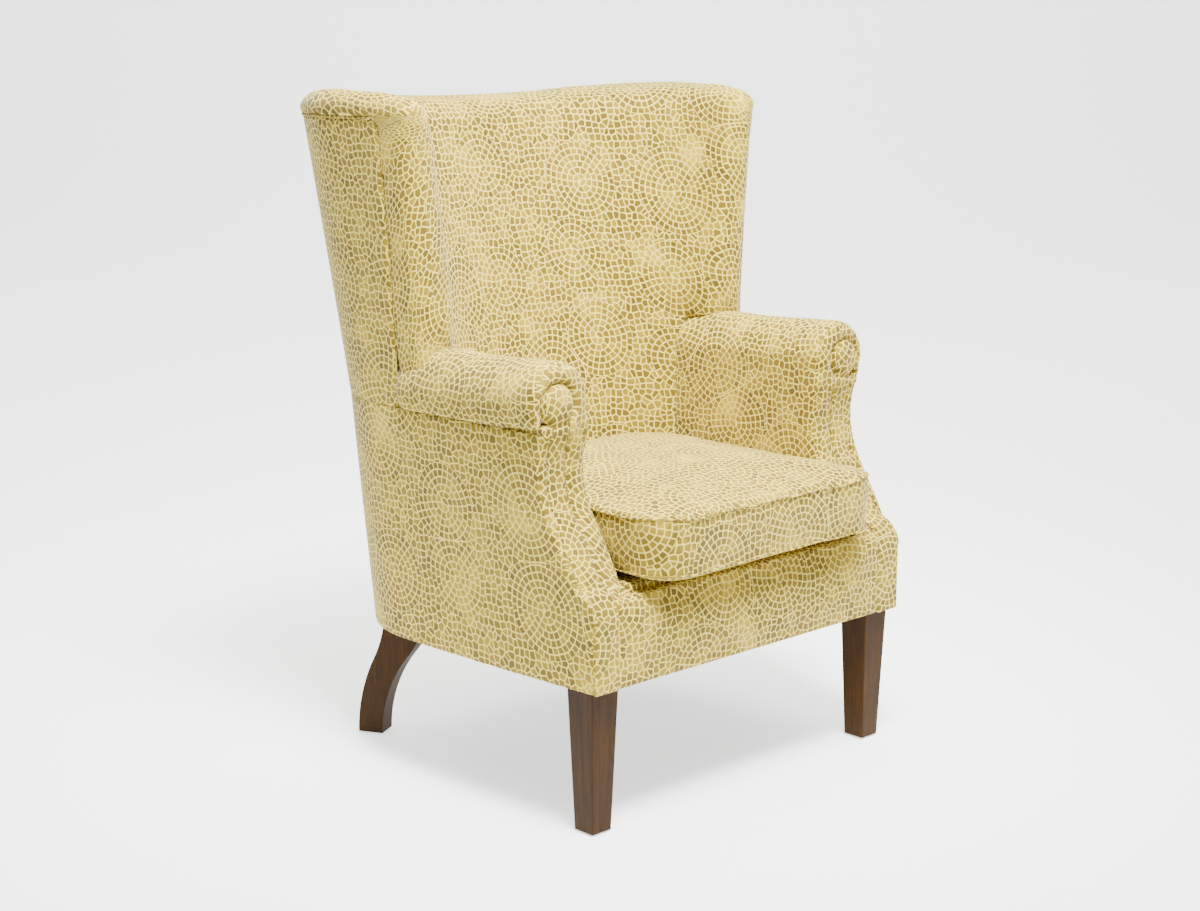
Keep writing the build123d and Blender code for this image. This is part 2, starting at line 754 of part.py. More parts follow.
# Outside arms return round their front edge to the facing
outer_limit = [(far, scroll_z), (far, leg_height)]
for side, sign in sides:
    x_range = sorted((sign * (back_panel_half + fit), sign * far))
    with BuildPart() as outside_arm:
        add(on_arm_front(outer_edge + outer_limit, sign, overrun, facing_thickness))
        add(outside, mode=Mode.INTERSECT)
        add(outside_panel(x_range, toe_front, (leg_height, back_height)))
        add(behind_arm_front(0.0), mode=Mode.INTERSECT)
        with Locations((0, 0, leg_height)):
            Box(far, far, panel_seam_height - fit - leg_height, align=upwards, mode=Mode.INTERSECT)
        add(facing_form(sign, overrun, fit), mode=Mode.SUBTRACT)
    save(outside_arm.part, f"outside_arm_{side}")

# Inside arms: a slab that curls over the arm rail and returns at the front to the facing
slab_middle_x = seat_half + slab_thickness / 2
slab_middle = [(slab_middle_x, scroll_z), (slab_middle_x, leg_height)]
opening_half = scroll_x - seat_half - slab_thickness
roll_rear_z = roll_z - arm_fall
scroll_rear_z = scroll_z - arm_fall
for side, sign in sides:
    outwards = Align.MIN if sign > 0 else Align.MAX
    with BuildPart() as inside_arm:
        with BuildSketch(Plane.XZ.offset(-arm_rear)):
            with Locations((sign * slab_middle_x, roll_rear_z)):
                Rectangle(slab_thickness, roll_z - leg_height, align=(Align.CENTER, Align.MAX))
            with Locations((sign * roll_x, roll_rear_z)):
                Circle(roll_radius)
            with Locations((sign * scroll_x, scroll_rear_z)):
                Circle(scroll_radius + scroll_play, mode=Mode.SUBTRACT)
            with Locations((sign * scroll_x, scroll_rear_z - roll_opening_drop)):
                Rectangle(
                    2 * opening_half,
                    roll_radius,
                    align=(Align.CENTER, Align.MAX),
                    mode=Mode.SUBTRACT,
                )
        extrude(amount=roll_length + overrun, dir=arm_run)
        with Locations((sign * (seat_half + slab_thickness), 0, leg_height)):
            Box(
                far,
                far,
                panel_seam_height + fit - leg_height,
                align=(outwards, Align.CENTER, Align.MIN),
                mode=Mode.SUBTRACT,
            )
        add(on_arm_front(inner_edge + slab_middle, sign, overrun, facing_thickness))
        add(behind_arm_front(0.0), mode=Mode.INTERSECT)
        with Locations((0, 0, arm_bottom)):
            Box(far, far, far, align=upwards, mode=Mode.INTERSECT)
        add(facing_form(sign, overrun, fit), mode=Mode.SUBTRACT)
    save(inside_arm.part, f"inside_arm_{side}")

# Front border under the cushion
with BuildPart() as front_border:
    with Locations((0, toe_front + border_setback, leg_height)):
        Box(
            2 * (facing_inner - fit),
            border_thickness,
            border_height,
            align=(Align.CENTER, Align.MIN, Align.MIN),
        )
    fillet(front_border.edges().filter_by(Axis.X).group_by(Axis.Z)[-1].sort_by(Axis.Y)[0], border_rounding)
save(front_border.part, "front_border")

# Dust cover under the seat frame, cut round the legs
with BuildPart() as dust_cover:
    extrude(outside_plan(base_plan, -dust_cover_inset), amount=-dust_cover_thickness)
    for side, sign in sides:
        add(front_legs[side], mode=Mode.SUBTRACT)
        add(rear_legs[side], mode=Mode.SUBTRACT)
        with Locations(
            (sign * front_leg_x, front_leg_y, leg_height),
            (sign * rear_bolt_x, rear_bolt_y, leg_height),
        ):
            Cylinder(bolt_radius + bolt_clearance + fit, bolt_in_leg, mode=Mode.SUBTRACT)
save(dust_cover.part, "dust_cover")

# Loose cushion: boxed, crowned above and below, with sides that draw in between its corners
cushion_half = seat_half - cushion_gap
cushion_front = toe_front - cushion_overhang
cushion_bottom = deck_top + cushion_rest
cushion_lower_seam = cushion_bottom + cushion_belly
cushion_upper_seam = cushion_lower_seam + cushion_boxing


def cushion_plan(z, inset, rear_y):
    half = cushion_half - inset
    front = cushion_front + inset
    rear = rear_y - inset
    middle = (front + rear) / 2
    with BuildSketch(Plane.XY.offset(z)) as face:
        with BuildLine():
            ThreePointArc((-half, front), (0, front + cushion_draw), (half, front))
            ThreePointArc((half, front), (half - cushion_draw, middle), (half, rear))
            ThreePointArc((half, rear), (0, rear - cushion_draw), (-half, rear))
            ThreePointArc((-half, rear), (cushion_draw - half, middle), (-half, front))
        make_face()
        fillet(face.vertices().group_by(Axis.Y)[0], cushion_front_corner * half / cushion_half)
        fillet(face.vertices().group_by(Axis.Y)[-1], cushion_rear_corner * half / cushion_half)
    return face.sketch


def cushion_form(skin):
    turns = [math.radians(90 * ring / cushion_rings) for ring in range(cushion_rings + 1)]
    under = [
        cushion_plan(
            cushion_lower_seam - (cushion_belly - skin) * math.sin(turn),
            belly_inset * (1 - math.cos(turn)) + skin,
            cushion_rear,
        )
        for turn in reversed(turns)
    ]
    over = [
        cushion_plan(
            cushion_upper_seam + (cushion_crown - skin) * math.sin(turn),
            crown_inset * (1 - math.cos(turn)) + skin,
            cushion_rear + cushion_rake,
        )
        for turn in turns
    ]
    with BuildPart() as form:
        loft(sections=under + over, ruled=True)
    return form.part


with BuildPart() as cushion_cover:
    add(cushion_form(0.0))
    add(cushion_form(cushion_skin), mode=Mode.SUBTRACT)
save(cushion_cover.part, "cushion_cover")
save(cushion_form(cushion_skin + fit), "cushion_core")
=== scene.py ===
import json
import math
import time

import bmesh
import bpy
import numpy as np
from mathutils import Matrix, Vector
from mathutils.bvhtree import BVHTree


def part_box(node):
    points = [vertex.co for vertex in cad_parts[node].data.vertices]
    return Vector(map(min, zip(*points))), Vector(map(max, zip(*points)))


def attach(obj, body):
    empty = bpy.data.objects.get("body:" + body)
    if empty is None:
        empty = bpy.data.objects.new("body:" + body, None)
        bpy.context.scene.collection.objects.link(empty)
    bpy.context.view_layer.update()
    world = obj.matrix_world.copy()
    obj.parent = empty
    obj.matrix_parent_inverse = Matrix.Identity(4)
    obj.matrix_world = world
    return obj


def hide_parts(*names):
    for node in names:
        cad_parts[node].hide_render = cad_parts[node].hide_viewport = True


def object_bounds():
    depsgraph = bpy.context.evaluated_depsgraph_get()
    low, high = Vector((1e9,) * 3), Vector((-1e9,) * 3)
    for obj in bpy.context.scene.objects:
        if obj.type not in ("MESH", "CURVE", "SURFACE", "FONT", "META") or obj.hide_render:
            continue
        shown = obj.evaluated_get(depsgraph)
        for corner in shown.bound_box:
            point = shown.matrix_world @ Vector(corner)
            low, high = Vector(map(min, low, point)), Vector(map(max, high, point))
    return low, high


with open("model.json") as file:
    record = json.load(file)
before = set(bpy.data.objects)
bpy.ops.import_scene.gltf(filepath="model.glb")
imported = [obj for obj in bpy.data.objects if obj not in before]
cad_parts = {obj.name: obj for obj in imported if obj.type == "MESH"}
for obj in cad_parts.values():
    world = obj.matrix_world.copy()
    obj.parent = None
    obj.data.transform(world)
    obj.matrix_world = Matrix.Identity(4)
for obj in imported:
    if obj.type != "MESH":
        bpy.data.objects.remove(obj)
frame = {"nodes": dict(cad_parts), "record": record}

# Upholstered wing armchair: padded covers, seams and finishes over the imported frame.
# Metres, the chair faces -Y and stands on Z = 0.

cadLow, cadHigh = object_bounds()
mm = 0.001
scene = bpy.context.scene
sides = (("left", -1), ("right", 1))

# Places shared by several pieces, read from the frame where a node shows them
tub = {
    "heights": (225 * mm, 626 * mm, 1062 * mm),
    "outsideHalf": (355 * mm, 356 * mm, 393 * mm),
    "outsideCornerY": (60 * mm, 119 * mm, 182 * mm),
    "outsideRadius": 200 * mm,
    "hollowHeights": (340 * mm, 560 * mm, 1067 * mm),
    "hollowHalf": (256 * mm, 276 * mm, 331 * mm),
    "hollowCornerY": (8 * mm, -40 * mm, 62 * mm),
    "hollowRadius": (105 * mm, 205 * mm, 235 * mm),
}
backLow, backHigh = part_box("inside_back")
armLow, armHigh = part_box("inside_arm_right")
coreLow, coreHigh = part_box("cushion_core")
borderLow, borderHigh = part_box("front_border")
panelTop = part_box("outside_back")[1].z
weld = 0.02 * mm  # points nearer than this are one
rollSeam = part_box("outside_arm_right")[1].z
noseFront = backLow.y
armRear = armHigh.y


# Small helpers

def linear(hexColour):
    channels = [int(hexColour[i:i + 2], 16) / 255 for i in (0, 2, 4)]
    return [c / 12.92 if c <= 0.04045 else ((c + 0.055) / 1.055) ** 2.4 for c in channels] + [1]


def addNode(tree, kind, inputs=None, **settings):
    node = tree.nodes.new(kind)
    for name, value in settings.items():
        setattr(node, name, value)
    for socket, value in (inputs or {}).items():
        if isinstance(value, bpy.types.NodeSocket):
            tree.links.new(value, node.inputs[socket])
        else:
            node.inputs[socket].default_value = value
    return node


def newMaterial(name):
    material = bpy.data.materials.new(name)
    material.use_nodes = True
    tree = material.node_tree
    return material, tree, tree.nodes["Principled BSDF"]


def coordsOf(mesh):
    flat = np.empty(len(mesh.vertices) * 3, np.float32)
    mesh.vertices.foreach_get("co", flat)
    return flat.reshape(-1, 3).astype(float)


def setCoords(mesh, coords):
    mesh.vertices.foreach_set("co", coords.astype(np.float32).ravel())
    mesh.update()


def normalsOf(mesh):
    flat = np.empty(len(mesh.vertices) * 3, np.float32)
    mesh.vertex_normals.foreach_get("vector", flat)
    return flat.reshape(-1, 3).astype(float)


def ease(values, low, high):
    t = np.clip((values - low) / (high - low), 0, 1)
    return t * t * (3 - 2 * t)


def hump(values, low, high):
    t = np.clip((values - low) / (high - low), 0, 1)
    return np.sin(math.pi * t)


def toObject(name, bm):
    mesh = bpy.data.meshes.new(name)
    bm.to_mesh(mesh)
    bm.free()
    piece = bpy.data.objects.new(name, mesh)
    scene.collection.objects.link(piece)
    return piece


def finishPiece(piece, body, material, nodes):
    piece.data.materials.clear()
    piece.data.materials.append(material)
    for polygon in piece.data.polygons:
        polygon.use_smooth = True
    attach(piece, body)
    if nodes:
        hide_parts(*nodes)


def treeOver(names):
    places = []
    faces = []
    for name in names:
        mesh = frame["nodes"][name].data
        first = len(places)
        places.extend(v.co.copy() for v in mesh.vertices)
        faces.extend([first + i for i in p.vertices] for p in mesh.polygons)
    return BVHTree.FromPolygons(places, faces)


# How free each point is to round off and swell: 0 at a seam with a neighbour, 1 well away from it
def freedom(mesh, neighbours, near, far):
    tree = treeOver(neighbours)
    gaps = []
    for vertex in mesh.vertices:
        reach = tree.find_nearest(vertex.co, far)[3]
        gaps.append(far if reach is None else reach)
    return ease(np.array(gaps), near, far)


def smoothed(mesh, rounds):
    bm = bmesh.new()
    bm.from_mesh(mesh)
    for step in range(rounds):
        bmesh.ops.smooth_vert(
            bm, verts=bm.verts, factor=0.5, use_axis_x=True, use_axis_y=True, use_axis_z=True
        )
    bm.to_mesh(mesh)
    bm.free()
    return coordsOf(mesh)


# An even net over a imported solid: merged copy, voxel remesh, then rounding that leaves its seams full
def netOver(nodeName, pieceName, settings):
    bm = bmesh.new()
    bm.from_mesh(frame["nodes"][nodeName].data)
    bmesh.ops.remove_doubles(bm, verts=bm.verts, dist=weld)
    piece = toObject(pieceName, bm)
    remesh = piece.modifiers.new("net", "REMESH")
    remesh.mode = "VOXEL"
    remesh.voxel_size = settings["voxel"]
    depsgraph = bpy.context.evaluated_depsgraph_get()
    net = bpy.data.meshes.new_from_object(piece.evaluated_get(depsgraph))
    piece.modifiers.clear()
    piece.data = net
    net.name = pieceName
    firm = smoothed(net, 2)
    free = np.ones(len(firm))
    neighbours = settings.get("neighbours")
    if neighbours:
        free = freedom(net, neighbours, settings["near"], settings["far"])
    full = firm + normalsOf(net) * settings.get("seamFill", 0)
    soft = smoothed(net, settings["rounds"]) + normalsOf(net) * settings.get("grow", 0)
    setCoords(net, full + (soft - full) * free[:, None])
    return piece, free


# Filling presses the cover outwards: a short cloth simulation held at the seams, then a cap
def swell(piece, free, settings):
    began = time.time()
    start = coordsOf(piece.data)
    seams = piece.vertex_groups.new(name="seams")
    for level in range(1, 11):
        members = np.nonzero(np.round((1 - free) * 10) == level)[0]
        if len(members):
            seams.add(members.tolist(), level / 10, "REPLACE")
    cloth = piece.modifiers.new("filling", "CLOTH")
    cloth.settings.quality = 3
    cloth.settings.use_pressure = True
    cloth.settings.uniform_pressure_force = settings["pressure"]
    cloth.settings.effector_weights.gravity = 0
    cloth.settings.vertex_group_mass = "seams"
    cloth.settings.tension_stiffness = 12
    cloth.settings.compression_stiffness = 12
    cloth.settings.bending_stiffness = 0.6
    cloth.point_cache.frame_start = 1
    cloth.point_cache.frame_end = settings["frames"]
    for step in range(1, settings["frames"] + 1):
        scene.frame_set(step)
    depsgraph = bpy.context.evaluated_depsgraph_get()
    end = coordsOf(piece.evaluated_get(depsgraph).data)
    piece.modifiers.clear()
    piece.vertex_groups.clear()
    scene.frame_set(1)
    move = end - start
    reach = np.linalg.norm(move, axis=1, keepdims=True)
    cap = settings["cap"]
    setCoords(piece.data, start + move * np.minimum(1, cap / np.maximum(reach, 1e-9)))
    moved = round(float(min(reach.max(), cap)) / mm, 1)
    print("swelled", piece.name, "by up to", moved, "mm in", round(time.time() - began, 1), "s")


def subdivided(piece, levels=1):
    modifier = piece.modifiers.new("smooth cover", "SUBSURF")
    modifier.levels = levels
    modifier.render_levels = levels


# The cloth's own coordinates, in metres along its surface, from a chart of points and facings
def layCloth(piece, chart, shift=(0, 0)):
    mesh = piece.data
    corners = np.empty(len(mesh.loops), np.int32)
    mesh.loops.foreach_get("vertex_index", corners)
    counts = np.empty(len(mesh.polygons), np.int32)
    mesh.polygons.foreach_get("loop_total", counts)
    facing = np.empty(len(mesh.polygons) * 3, np.float32)
    mesh.polygons.foreach_get("normal", facing)
    facing = np.repeat(facing.reshape(-1, 3), counts, axis=0)
    laid = chart(coordsOf(mesh)[corners], facing) + np.array(shift)
    layer = mesh.uv_layers.new(name="cloth")
    layer.data.foreach_set("uv", laid.astype(np.float32).ravel())


# Materials

mosaic = {
    "spiralPitch": 148 * mm,
    "spiralScatter": 0.6,
    "bandWidth": 10.6 * mm,
    "tesseraWidth": 11 * mm,
    "fieldTessera": 11 * mm,
    "grout": 1.7 * mm,
    "groutSoftness": 0.7 * mm,
    "handLaid": 2.0 * mm,
    "wobbleSize": 28 * mm,
    "fieldScatter": 0.72,
    "leastRings": 5.0,
    "moreRings": 3.0,
    "paleHeart": 0.32,
    "toneShare": 0.42,
    "driftShare": 0.62,
    "driftSize": 75 * mm,
    "patchSize": 95 * mm,
    "thread": 1.1 * mm,  # real threads of 0.5 mm wouldn't show, so they are drawn twice as coarse
    "dark": "544503",
    "middle": "6F5C0A",
    "light": "917C14",
    "line": "D6C052",
    "wash": "C2A729",
}


# Printed cotton, a flat weave: matte, a little sheen, cream lines between khaki gold tesserae.
# Tesserae wind in spirals round scattered centres, with irregular ones between the spirals.
def printedCotton(settings):
    material, tree, shader = newMaterial("printedCotton")
    cloth = addNode(tree, "ShaderNodeUVMap", uv_map="cloth").outputs[0]
    wobble = addNode(
        tree, "ShaderNodeTexNoise", {"Vector": cloth, "Scale": 1 / settings["wobbleSize"], "Detail": 2.0},
        noise_dimensions="2D",
    ).outputs["Color"]
    centred = addNode(
        tree, "ShaderNodeVectorMath", {0: wobble, 1: (0.5, 0.5, 0.5)}, operation="SUBTRACT"
    ).outputs[0]
    push = addNode(
        tree, "ShaderNodeVectorMath", {0: centred, "Scale": 2 * settings["handLaid"]}, operation="SCALE"
    ).outputs[0]
    laid = addNode(tree, "ShaderNodeVectorMath", {0: cloth, 1: push}, operation="ADD").outputs[0]

    pitch = settings["spiralPitch"]
    scaled = addNode(
        tree, "ShaderNodeVectorMath", {0: laid, "Scale": 1 / pitch}, operation="SCALE"
    ).outputs[0]
    spirals, borders = [
        addNode(
            tree, "ShaderNodeTexVoronoi",
            {"Vector": scaled, "Scale": 1.0, "Randomness": settings["spiralScatter"]},
            voronoi_dimensions="2D", feature=feature,
        ).outputs
        for feature in ("F1", "DISTANCE_TO_EDGE")
    ]
    offset = addNode(
        tree, "ShaderNodeVectorMath", {0: scaled, 1: spirals["Position"]}, operation="SUBTRACT"
    ).outputs[0]
    fromCentre = addNode(
        tree, "ShaderNodeVectorMath", {0: offset, "Scale": pitch}, operation="SCALE"
    ).outputs[0]
    radius = addNode(tree, "ShaderNodeVectorMath", {0: fromCentre}, operation="LENGTH").outputs["Value"]
    parts = addNode(tree, "ShaderNodeSeparateXYZ", {0: fromCentre}).outputs
    cellParts = addNode(tree, "ShaderNodeSeparateColor", {0: spirals["Color"]}).outputs
    fieldScale = 1 / settings["fieldTessera"]
    fieldEdges, fieldCells = [
        addNode(
            tree, "ShaderNodeTexVoronoi",
            {"Vector": laid, "Scale": fieldScale, "Randomness": settings["fieldScatter"]},
            voronoi_dimensions="2D", feature=feature,
        ).outputs
        for feature in ("DISTANCE_TO_EDGE", "F1")
    ]

    # Arithmetic of the spirals: each row names a result, its operation and what it works on
    band = settings["bandWidth"]
    width = settings["tesseraWidth"]
    values = {
        "centreX": parts[0],
        "centreY": parts[1],
        "radius": radius,
        "cellRed": cellParts[0],
        "cellBlue": cellParts[2],
        "cellBorder": borders["Distance"],
        "fieldDistance": fieldEdges["Distance"],
    }
    windings = (
        ("border", "MULTIPLY", "cellBorder", pitch),
        ("leftHanded", "GREATER_THAN", "cellBlue", 0.5),
        ("doubled", "MULTIPLY", "leftHanded", 2.0),
        ("handed", "SUBTRACT", "doubled", 1.0),
        ("angle", "ARCTAN2", "centreY", "centreX"),
        ("turn", "MULTIPLY", "angle", 0.5 / math.pi),
        ("share", "MULTIPLY", "turn", "handed"),
        ("bands", "DIVIDE", "radius", band),
        ("windPlace", "SUBTRACT", "bands", "share"),
        ("ring", "FLOOR", "windPlace", 0.0),
        ("across", "SUBTRACT", "windPlace", "ring"),
        ("turns", "ADD", "ring", "share"),
        ("wound", "ADD", "turns", 0.5),
        ("woundSquare", "MULTIPLY", "wound", "wound"),
        ("run", "MULTIPLY", "woundSquare", math.pi * band),
        ("place", "DIVIDE", "run", width),
        ("stone", "FLOOR", "place", 0.0),
        ("along", "SUBTRACT", "place", "stone"),
        ("acrossFar", "SUBTRACT", 1.0, "across"),
        ("acrossNear", "MINIMUM", "across", "acrossFar"),
        ("edgeAcross", "MULTIPLY", "acrossNear", band),
        ("alongFar", "SUBTRACT", 1.0, "along"),
        ("alongNear", "MINIMUM", "along", "alongFar"),
        ("edgeAlong", "MULTIPLY", "alongNear", width),
        ("stoneEdge", "MINIMUM", "edgeAcross", "edgeAlong"),
        ("ringEdge", "MINIMUM", "stoneEdge", "border"),
        ("fieldEdge", "DIVIDE", "fieldDistance", fieldScale),
        ("moreRings", "MULTIPLY", "cellRed", settings["moreRings"]),
        ("wholeRings", "FLOOR", "moreRings", 0.0),
        ("rings", "ADD", "wholeRings", settings["leastRings"]),
        ("inSpiral", "LESS_THAN", "ring", "rings"),
        ("ringShare", "DIVIDE", "ring", "rings"),
        ("heart", "SUBTRACT", 0.5, "ringShare"),
        ("heartInside", "MULTIPLY", "heart", "inSpiral"),
        ("fade", "MULTIPLY", "heartInside", settings["paleHeart"]),
    )
    for name, operation, first, second in windings:
        inputs = {0: values.get(first, first), 1: values.get(second, second)}
        values[name] = addNode(tree, "ShaderNodeMath", inputs, operation=operation).outputs[0]
    inSpiral = values["inSpiral"]

    edge = addNode(
        tree, "ShaderNodeMix", {0: inSpiral, 2: values["fieldEdge"], 3: values["ringEdge"]}, data_type="FLOAT"
    ).outputs[0]
    body = addNode(
        tree, "ShaderNodeMapRange",
        {
            "Value": edge,
            "From Min": settings["grout"] / 2 - settings["groutSoftness"] / 2,
            "From Max": settings["grout"] / 2 + settings["groutSoftness"],
        },
        interpolation_type="SMOOTHSTEP",
    ).outputs[0]

    seed = addNode(
        tree, "ShaderNodeCombineXYZ", {0: values["ring"], 1: values["stone"], 2: cellParts[1]}
    ).outputs[0]
    ringTone = addNode(
        tree, "ShaderNodeTexWhiteNoise", {"Vector": seed}, noise_dimensions="3D"
    ).outputs["Value"]
    fieldTone = addNode(tree, "ShaderNodeSeparateColor", {0: fieldCells["Color"]}).outputs[0]
    values["tone"] = addNode(
        tree, "ShaderNodeMix", {0: inSpiral, 2: fieldTone, 3: ringTone}, data_type="FLOAT"
    ).outputs[0]
    values["drift"] = addNode(
        tree, "ShaderNodeTexNoise", {"Vector": cloth, "Scale": 1 / settings["driftSize"], "Detail": 3.0},
        noise_dimensions="2D",
    ).outputs["Fac"]
    values["warp"], values["weft"] = [
        addNode(
            tree, "ShaderNodeTexWave",
            {"Vector": cloth, "Scale": 1 / (settings["thread"] * 20), "Distortion": 0.4, "Detail": 1.0},
            wave_type="BANDS", bands_direction=direction,
        ).outputs["Fac"]
        for direction in ("X", "Y")
    ]
    blends = (
        ("stoneTone", "MULTIPLY", "tone", settings["toneShare"]),
        ("driftTone", "MULTIPLY", "drift", settings["driftShare"]),
        ("plainTone", "ADD", "stoneTone", "driftTone"),
        ("mixed", "ADD", "plainTone", "fade"),
        ("weave", "ADD", "warp", "weft"),
    )
    for name, operation, first, second in blends:
        inputs = {0: values[first], 1: values.get(second, second)}
        values[name] = addNode(tree, "ShaderNodeMath", inputs, operation=operation).outputs[0]
    ramp = addNode(tree, "ShaderNodeValToRGB", {0: values["mixed"]})
    ramp.color_ramp.elements[0].position = 0.22
    ramp.color_ramp.elements[0].color = linear(settings["dark"])
    ramp.color_ramp.elements[1].position = 0.82
    ramp.color_ramp.elements[1].color = linear(settings["light"])
    ramp.color_ramp.elements.new(0.52).color = linear(settings["middle"])

    patches = addNode(
        tree, "ShaderNodeTexNoise",
        {"Vector": cloth, "Scale": 1 / settings["patchSize"], "Detail": 4.0, "Roughness": 0.6},
        noise_dimensions="2D",
    ).outputs["Fac"]
    paleness = addNode(
        tree, "ShaderNodeMapRange",
        {"Value": patches, "From Min": 0.52, "From Max": 0.78, "To Max": 0.6},
        interpolation_type="SMOOTHSTEP",
    ).outputs[0]
    washed = addNode(
        tree, "ShaderNodeMix", {0: paleness, 6: ramp.outputs[0], 7: linear(settings["wash"])},
        data_type="RGBA",
    ).outputs[2]
    colour = addNode(
        tree, "ShaderNodeMix", {0: body, 6: linear(settings["line"]), 7: washed}, data_type="RGBA"
    ).outputs[2]
    tree.links.new(colour, shader.inputs["Base Color"])

    weave = values["weave"]
    bump = addNode(tree, "ShaderNodeBump", {"Height": weave, "Strength": 0.12, "Distance": 0.3 * mm})
    tree.links.new(bump.outputs[0], shader.inputs["Normal"])
    shader.inputs["Roughness"].default_value = 0.88
    shader.inputs["Sheen Weight"].default_value = 0.12
    shader.inputs["Sheen Roughness"].default_value = 0.5
    shader.inputs["Specular IOR Level"].default_value = 0.25
    return material


walnut = {"dark": "241300", "light": "3C2400", "grainWidth": 12 * mm, "pore": 1.4 * mm}


# Stained walnut under satin lacquer: long dark grain up the leg, fine pores, soft highlights
def stainedWalnut(settings):
    material, tree, shader = newMaterial("stainedWalnut")
    place = addNode(tree, "ShaderNodeTexCoord").outputs["Object"]
    stretch = addNode(tree, "ShaderNodeMapping", {"Vector": place, "Scale": (1, 1, 0.09)}).outputs[0]
    grain = addNode(
        tree, "ShaderNodeTexNoise",
        {
            "Vector": stretch,
            "Scale": 1 / settings["grainWidth"],
            "Detail": 6.0,
            "Roughness": 0.62,
            "Distortion": 0.8,
        },
    ).outputs["Fac"]
    drawn = addNode(tree, "ShaderNodeMapping", {"Vector": place, "Scale": (1, 1, 0.03)}).outputs[0]
    pores = addNode(
        tree, "ShaderNodeTexNoise", {"Vector": drawn, "Scale": 1 / settings["pore"], "Detail": 2.0}
    ).outputs["Fac"]
    ramp = addNode(tree, "ShaderNodeValToRGB", {0: grain})
    ramp.color_ramp.elements[0].position = 0.32
    ramp.color_ramp.elements[0].color = linear(settings["dark"])
    ramp.color_ramp.elements[1].position = 0.7
    ramp.color_ramp.elements[1].color = linear(settings["light"])
    shade = addNode(
        tree, "ShaderNodeMapRange", {"Value": pores, "From Min": 0.35, "From Max": 0.6, "To Min": 0.86}
    ).outputs[0]
    colour = addNode(
        tree, "ShaderNodeMix", {0: 1.0, 6: ramp.outputs[0], 7: shade}, data_type="RGBA", blend_type="MULTIPLY"
    ).outputs[2]
    tree.links.new(colour, shader.inputs["Base Color"])
    rough = addNode(tree, "ShaderNodeMapRange", {"Value": grain, "To Min": 0.5, "To Max": 0.62}).outputs[0]
    tree.links.new(rough, shader.inputs["Roughness"])
    bump = addNode(tree, "ShaderNodeBump", {"Height": pores, "Strength": 0.15, "Distance": 0.2 * mm})
    tree.links.new(bump.outputs[0], shader.inputs["Normal"])
    shader.inputs["Specular IOR Level"].default_value = 0.12
    return material


# A plain finish with mottled colour, its own roughness and a fine bump
def mottled(name, dark, light, size, roughness, metallic=0.0, stretch=(1, 1, 1), bumpDepth=0.15 * mm):
    material, tree, shader = newMaterial(name)
    place = addNode(tree, "ShaderNodeTexCoord").outputs["Object"]
    drawn = addNode(tree, "ShaderNodeMapping", {"Vector": place, "Scale": stretch}).outputs[0]
    cloud = addNode(
        tree, "ShaderNodeTexNoise", {"Vector": drawn, "Scale": 1 / size, "Detail": 5.0, "Roughness": 0.6}
    ).outputs["Fac"]
    ramp = addNode(tree, "ShaderNodeValToRGB", {0: cloud})
    ramp.color_ramp.elements[0].position = 0.3
    ramp.color_ramp.elements[0].color = linear(dark)
    ramp.color_ramp.elements[1].position = 0.7
    ramp.color_ramp.elements[1].color = linear(light)
    tree.links.new(ramp.outputs[0], shader.inputs["Base Color"])
    rough = addNode(
        tree, "ShaderNodeMapRange", {"Value": cloud, "To Min": roughness - 0.07, "To Max": roughness + 0.07}
    ).outputs[0]
    tree.links.new(rough, shader.inputs["Roughness"])
    bump = addNode(tree, "ShaderNodeBump", {"Height": cloud, "Strength": 0.3, "Distance": bumpDepth})
    tree.links.new(bump.outputs[0], shader.inputs["Normal"])
    shader.inputs["Metallic"].default_value = metallic
    return material


cotton = printedCotton(mosaic)
legTimber = stainedWalnut(walnut)
# Planed beech: pale and dry, with a faint upright grain
frameTimber = mottled("planedBeech", "B98E5F", "D3AF83", 6 * mm, 0.62, stretch=(1, 1, 0.12))
# Zinc-plated steel: grey, cloudy, half bright
plainSteel = mottled("zincPlatedSteel", "8C8E90", "B4B7BA", 3 * mm, 0.38, metallic=1.0)
# Moulded nylon: near black, with a low even gloss
nylon = mottled("mouldedNylon", "15120F", "24201C", 2 * mm, 0.55)
# Woven strapping: brown, matte, ribbed along its length
strapping = mottled("wovenStrapping", "3F3226", "5E4C3A", 2.4 * mm, 0.85, stretch=(1, 1, 0.3))
# Jute hessian: tan, coarse and dry
sacking = mottled("juteHessian", "8B7048", "B1946A", 2.2 * mm, 0.92, bumpDepth=0.6 * mm)
# Deck lining: matte cotton, its near-black colour is painted shade for the shadowed gap under the cushion
paintedShadeLining = mottled("deckLiningPaintedShade", "231F12", "2E2918", 2.6 * mm, 0.9)
# Black lining: thin spun cloth that swallows light
underCloth = mottled("blackLining", "0B0B0C", "191A1B", 2.0 * mm, 0.92)
# Open-cell foam: cream, finely pitted
foam = mottled("openCellFoam", "D6CBA4", "E9E0BE", 1.8 * mm, 0.95, bumpDepth=0.8 * mm)

slotFinish = {
    "leg_walnut": legTimber,
    "frame_beech": frameTimber,
    "steel": plainSteel,
    "nylon": nylon,
}
for row in frame["record"]["subparts"]:
    finish = slotFinish.get(row["material_slot"])
    if finish:
        mesh = frame["nodes"][row["node"]].data
        mesh.materials.clear()
        mesh.materials.append(finish)
print("materials ready")


# Charts: how the cloth is laid on each form

